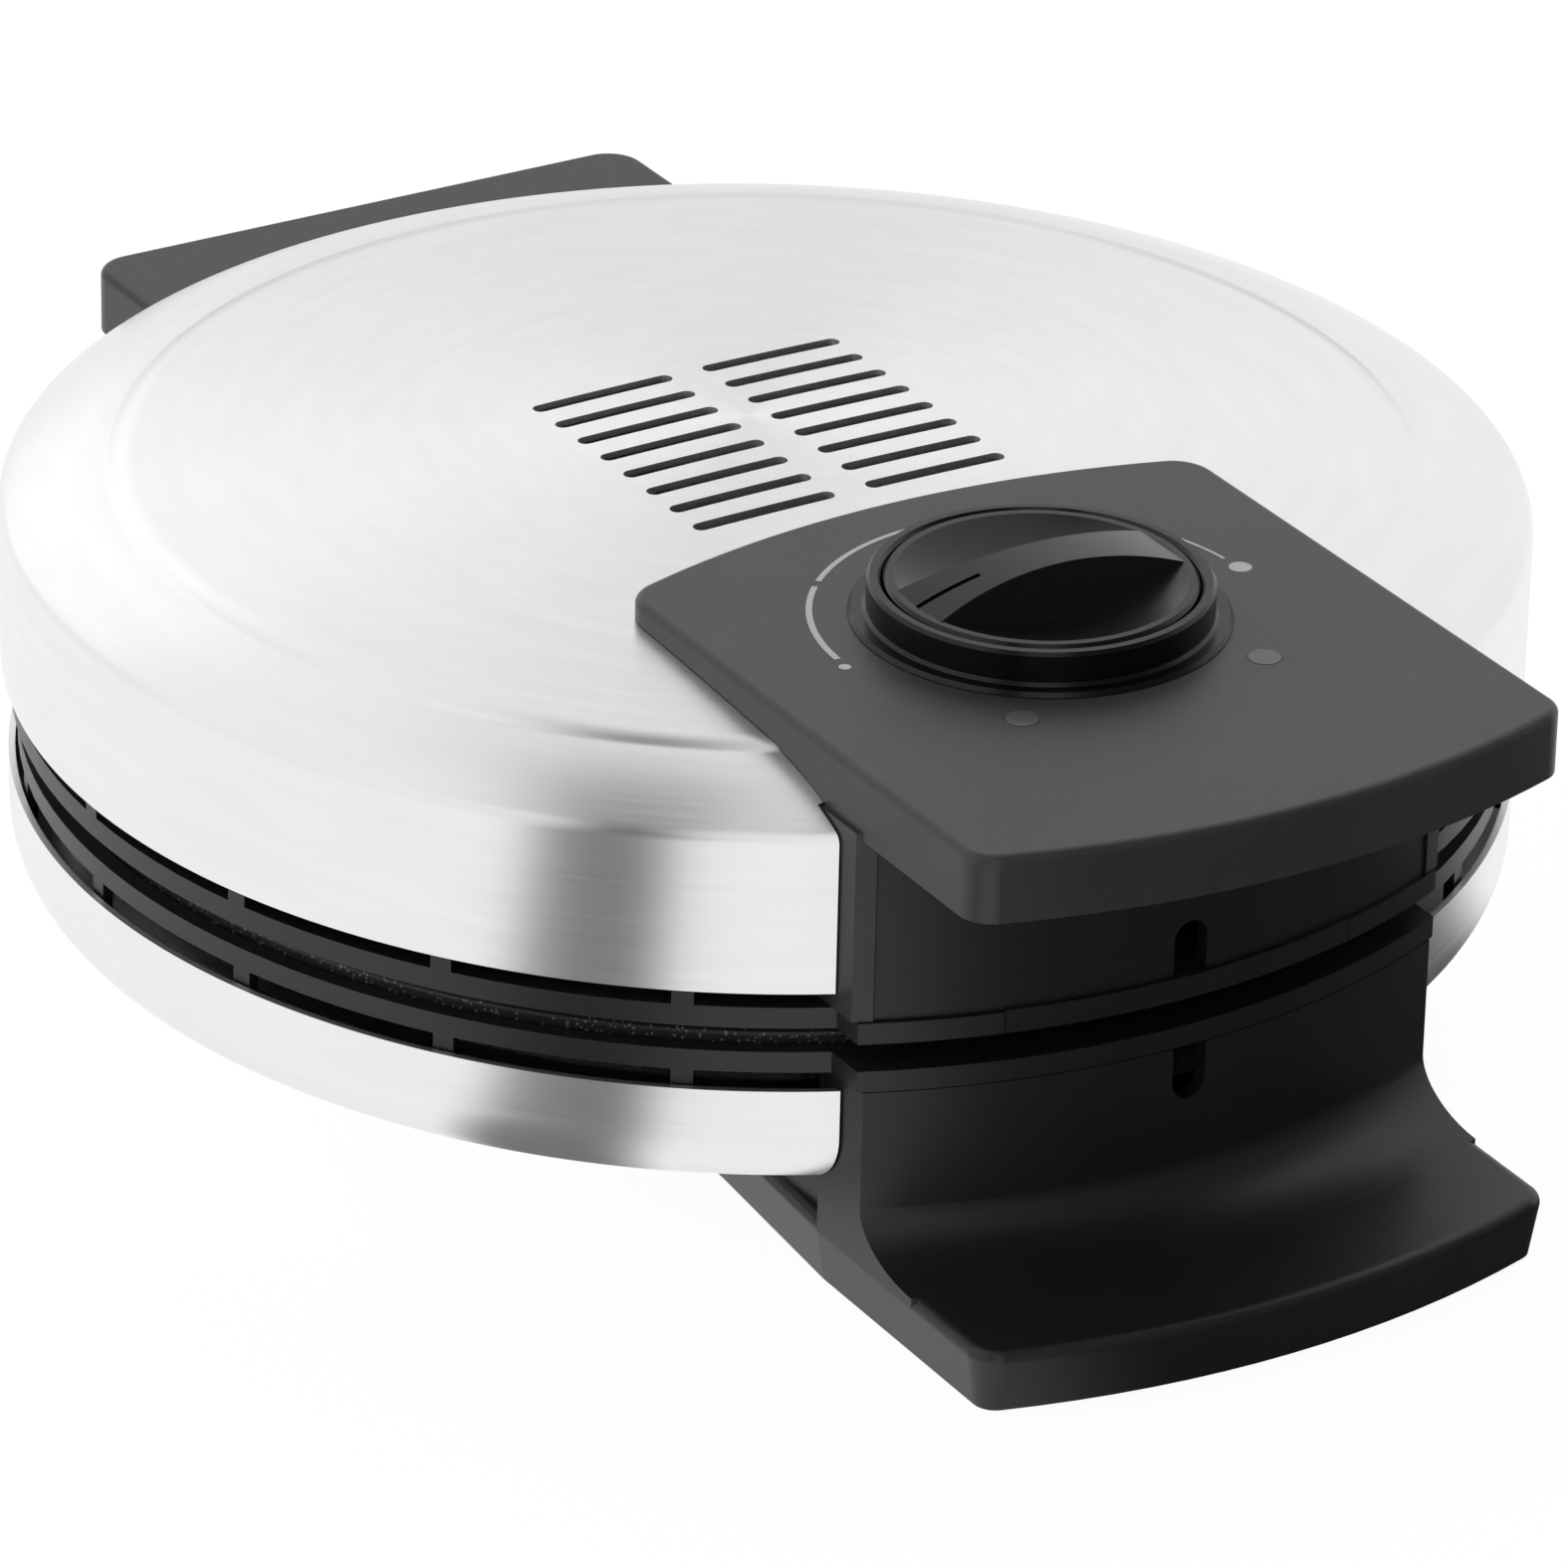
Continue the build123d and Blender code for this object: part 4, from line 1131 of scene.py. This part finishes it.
@dataclass(frozen=True)
class Strip(Wedge):
    """A dark strip over the studio, which the walls and the shoulder of the object mirror."""

    offset: float = 0.0
    taper: float = 1.2

    def _mask(self) -> tuple[bpy.types.NodeTree, dict[str, float]]:
        """Group that draws the strip, and the numbers that go in beside its direction.

        Returns:
            The group and its numbers.
        """
        edge, core = (math.sin(math.radians(angle)) for angle in (self.edge, self.core))
        return GROUPS.ceiling_strip(), {"Offset": self.offset, "Edge": edge, "Core": core, "Taper": self.taper}


def through_wedges(
    tree: bpy.types.NodeTree, vector: bpy.types.NodeSocket, wedges: tuple[Wedge, ...], strength: float
) -> bpy.types.NodeSocket:
    """Multiplies a strength by the light that every wedge leaves.

    Args:
        tree: tree that gets the nodes.
        vector: a place or a direction seen from the object's axis.
        wedges: the wedges.
        strength: what is left outside them all.

    Returns:
        The strength socket.
    """
    total = strength
    for wedge in wedges:
        total = reckon(tree, "MULTIPLY", wedge.light(tree, vector), total)
    return total


def shader_mix(
    tree: bpy.types.NodeTree,
    share: bpy.types.NodeSocket,
    first: bpy.types.NodeSocket,
    second: bpy.types.NodeSocket,
) -> bpy.types.NodeSocket:
    """Mixes two shaders.

    Args:
        tree: tree that gets the node.
        share: socket that is 0 for the first shader and 1 for the second.
        first: output socket of the first shader.
        second: output socket of the second shader.

    Returns:
        The mixed shader's socket.
    """
    node = tree.nodes.new("ShaderNodeMixShader")
    for source, slot in zip((share, first, second), node.inputs):
        tree.links.new(source, slot)
    return node.outputs[0]


def heading_vector(azimuth: float, elevation: float) -> Vector:
    """Unit vector of a direction.

    Args:
        azimuth: compass angle from +x, in degrees.
        elevation: angle above the floor, in degrees.

    Returns:
        The vector.
    """
    a, e = math.radians(azimuth), math.radians(elevation)
    return Vector((math.cos(a) * math.cos(e), math.sin(a) * math.cos(e), math.sin(e)))


@dataclass(frozen=True)
class Lamp:
    """A square soft lamp that looks at the object, in degrees, metres and watts."""

    name: str
    azimuth: float
    elevation: float
    distance: float
    size: float
    power: float

    def hang(self, target: Vector) -> None:
        """Adds the lamp to the scene.

        Args:
            target: the place that it looks at.
        """
        data = bpy.data.lights.new(self.name, "AREA")
        data.energy = self.power
        data.size = self.size
        way = heading_vector(self.azimuth, self.elevation)
        lamp = bpy.data.objects.new(self.name, data)
        lamp.location = target + way * self.distance
        lamp.rotation_mode = "QUATERNION"
        lamp.rotation_quaternion = way.to_track_quat("Z", "Y")
        bpy.context.scene.collection.objects.link(lamp)


@dataclass(frozen=True)
class Studio:
    """Camera, floor, room and lamps, in degrees and metres, with the lens in millimetres."""

    azimuth: float = -31.5373
    elevation: float = 26.113
    roll: float = 1.2776
    distance: float = 1.4911
    target: tuple[float, float, float] = (0.0, 0.0, 0.0458)
    lens: float = 227.06
    sensor: float = 36.0
    shift: Span = (0.01377, -0.07564)
    clip: Span = (0.05, 50.0)
    floor_half: float = 4.0
    floor_height: float = -0.0002
    floor_colour: Colour = (0.86, 0.86, 0.86)
    floor_roughness: float = 0.9
    floor_seen: float = 0.9
    floor_glow: float = 1.06
    room_light: float = 0.84
    room_mirrored: float = 1.17
    room_wedges: tuple[Wedge, ...] = (
        Strip(229.0, 4.5, 18.0, 0.94, offset=-0.15),
        Wedge(304.0, 30.0, 50.0, 0.85),
    )
    # Painted shade: dark wedges in the floor's glow, seen only by mirrored rays, which paint dark reflections into the
    # steel
    floor_painted_wedges: tuple[Wedge, ...] = (Wedge(220.5, 3.0, 11.0, 0.8), Wedge(292.0, 28.0, 44.0, 0.93))
    lamps: tuple[Lamp, ...] = (
        Lamp("key_light", 150.0, 65.0, 1.8, 1.4, 0.2),
        Lamp("rear_light", 92.0, 29.0, 0.75, 0.40, 0.12),
    )

    def camera(self) -> None:
        """Sets the camera where the photograph was taken from."""
        a, e, r = (math.radians(v) for v in (self.azimuth, self.elevation, self.roll))
        back = Vector((math.sin(a) * math.cos(e), -math.cos(a) * math.cos(e), math.sin(e)))
        right = Vector((math.cos(a), math.sin(a), 0.0))
        up = back.cross(right)
        across = math.cos(r) * right + math.sin(r) * up
        upward = -math.sin(r) * right + math.cos(r) * up
        data = bpy.data.cameras.new("camera")
        data.lens = self.lens
        data.sensor_width = self.sensor
        data.shift_x, data.shift_y = self.shift
        data.clip_start, data.clip_end = self.clip
        eye = bpy.data.objects.new("camera", data)
        place = Matrix((across, upward, back)).transposed().to_4x4()
        place.translation = Vector(self.target) + back * self.distance
        eye.matrix_world = place
        bpy.context.scene.collection.objects.link(eye)
        bpy.context.scene.camera = eye

    def floor(self) -> None:
        """Lays a white floor that keeps a soft shadow; in the steel's reflections it glows, with painted dark wedges
        that give painted reflections.
        """
        bpy.ops.mesh.primitive_plane_add(size=2 * self.floor_half, location=(0, 0, self.floor_height))
        plane = bpy.context.object
        plane.name = "floor"
        material = bpy.data.materials.new("white_sweep")
        material.use_nodes = True
        tree = material.node_tree
        shader = tree.nodes["Principled BSDF"]
        shader.inputs["Base Color"].default_value = (*self.floor_colour, 1.0)
        shader.inputs["Roughness"].default_value = self.floor_roughness
        glow = tree.nodes.new("ShaderNodeEmission")
        rays = tree.nodes.new("ShaderNodeLightPath").outputs
        place = tree.nodes.new("ShaderNodeTexCoord").outputs["Object"]
        seen = reckon(tree, "MULTIPLY", rays["Is Camera Ray"], self.floor_seen)
        glowing = reckon(tree, "ADD", rays["Is Glossy Ray"], seen)
        # Painted reflection: mirrored rays see the floor glow, darkened in the painted wedges; camera rays see an even
        # glow
        lit = tree.nodes.new("ShaderNodeMix")
        lit.inputs["A"].default_value = self.floor_glow
        tree.links.new(rays["Is Glossy Ray"], lit.inputs["Factor"])
        tree.links.new(through_wedges(tree, place, self.floor_painted_wedges, 1.0), lit.inputs["B"])
        tree.links.new(lit.outputs["Result"], glow.inputs["Strength"])
        surface = shader_mix(tree, glowing, shader.outputs[0], glow.outputs[0])
        tree.links.new(surface, tree.nodes["Material Output"].inputs["Surface"])
        plane.data.materials.append(material)

    def world(self) -> None:
        """Fills the room with soft white light. What the steel mirrors and the camera sees is a very pale grey."""
        world = bpy.data.worlds.new("room")
        bpy.context.scene.world = world
        world.use_nodes = True
        tree = world.node_tree
        way = tree.nodes.new("ShaderNodeTexCoord").outputs["Generated"]
        rays = tree.nodes.new("ShaderNodeLightPath").outputs
        room = tree.nodes["Background"]
        mirror, seen = (tree.nodes.new("ShaderNodeBackground") for _ in range(2))
        room.inputs["Color"].default_value = (1.0, 1.0, 1.0, 1.0)
        for node, strength in ((room, self.room_light), (mirror, self.room_mirrored)):
            tree.links.new(through_wedges(tree, way, self.room_wedges, strength), node.inputs["Strength"])
        light = shader_mix(tree, rays["Is Glossy Ray"], room.outputs[0], mirror.outputs[0])
        surface = shader_mix(tree, rays["Is Camera Ray"], light, seen.outputs[0])
        tree.links.new(surface, tree.nodes["World Output"].inputs["Surface"])

    def build(self) -> None:
        """Sets everything up."""
        self.camera()
        self.floor()
        self.world()
        for lamp in self.lamps:
            lamp.hang(Vector(self.target))
        LOG.info("studio is set")


def main() -> None:
    """Builds the studio and the object."""
    logging.basicConfig(level=logging.INFO, format="%(name)s: %(message)s")
    bpy.context.scene.view_settings.view_transform = "Standard"
    Studio().build()
    finishes = Finishes()
    for assembly in (Lid(), Base(), ControlPanel()):
        assembly.build(finishes)


if __name__ == "__main__":
    main()
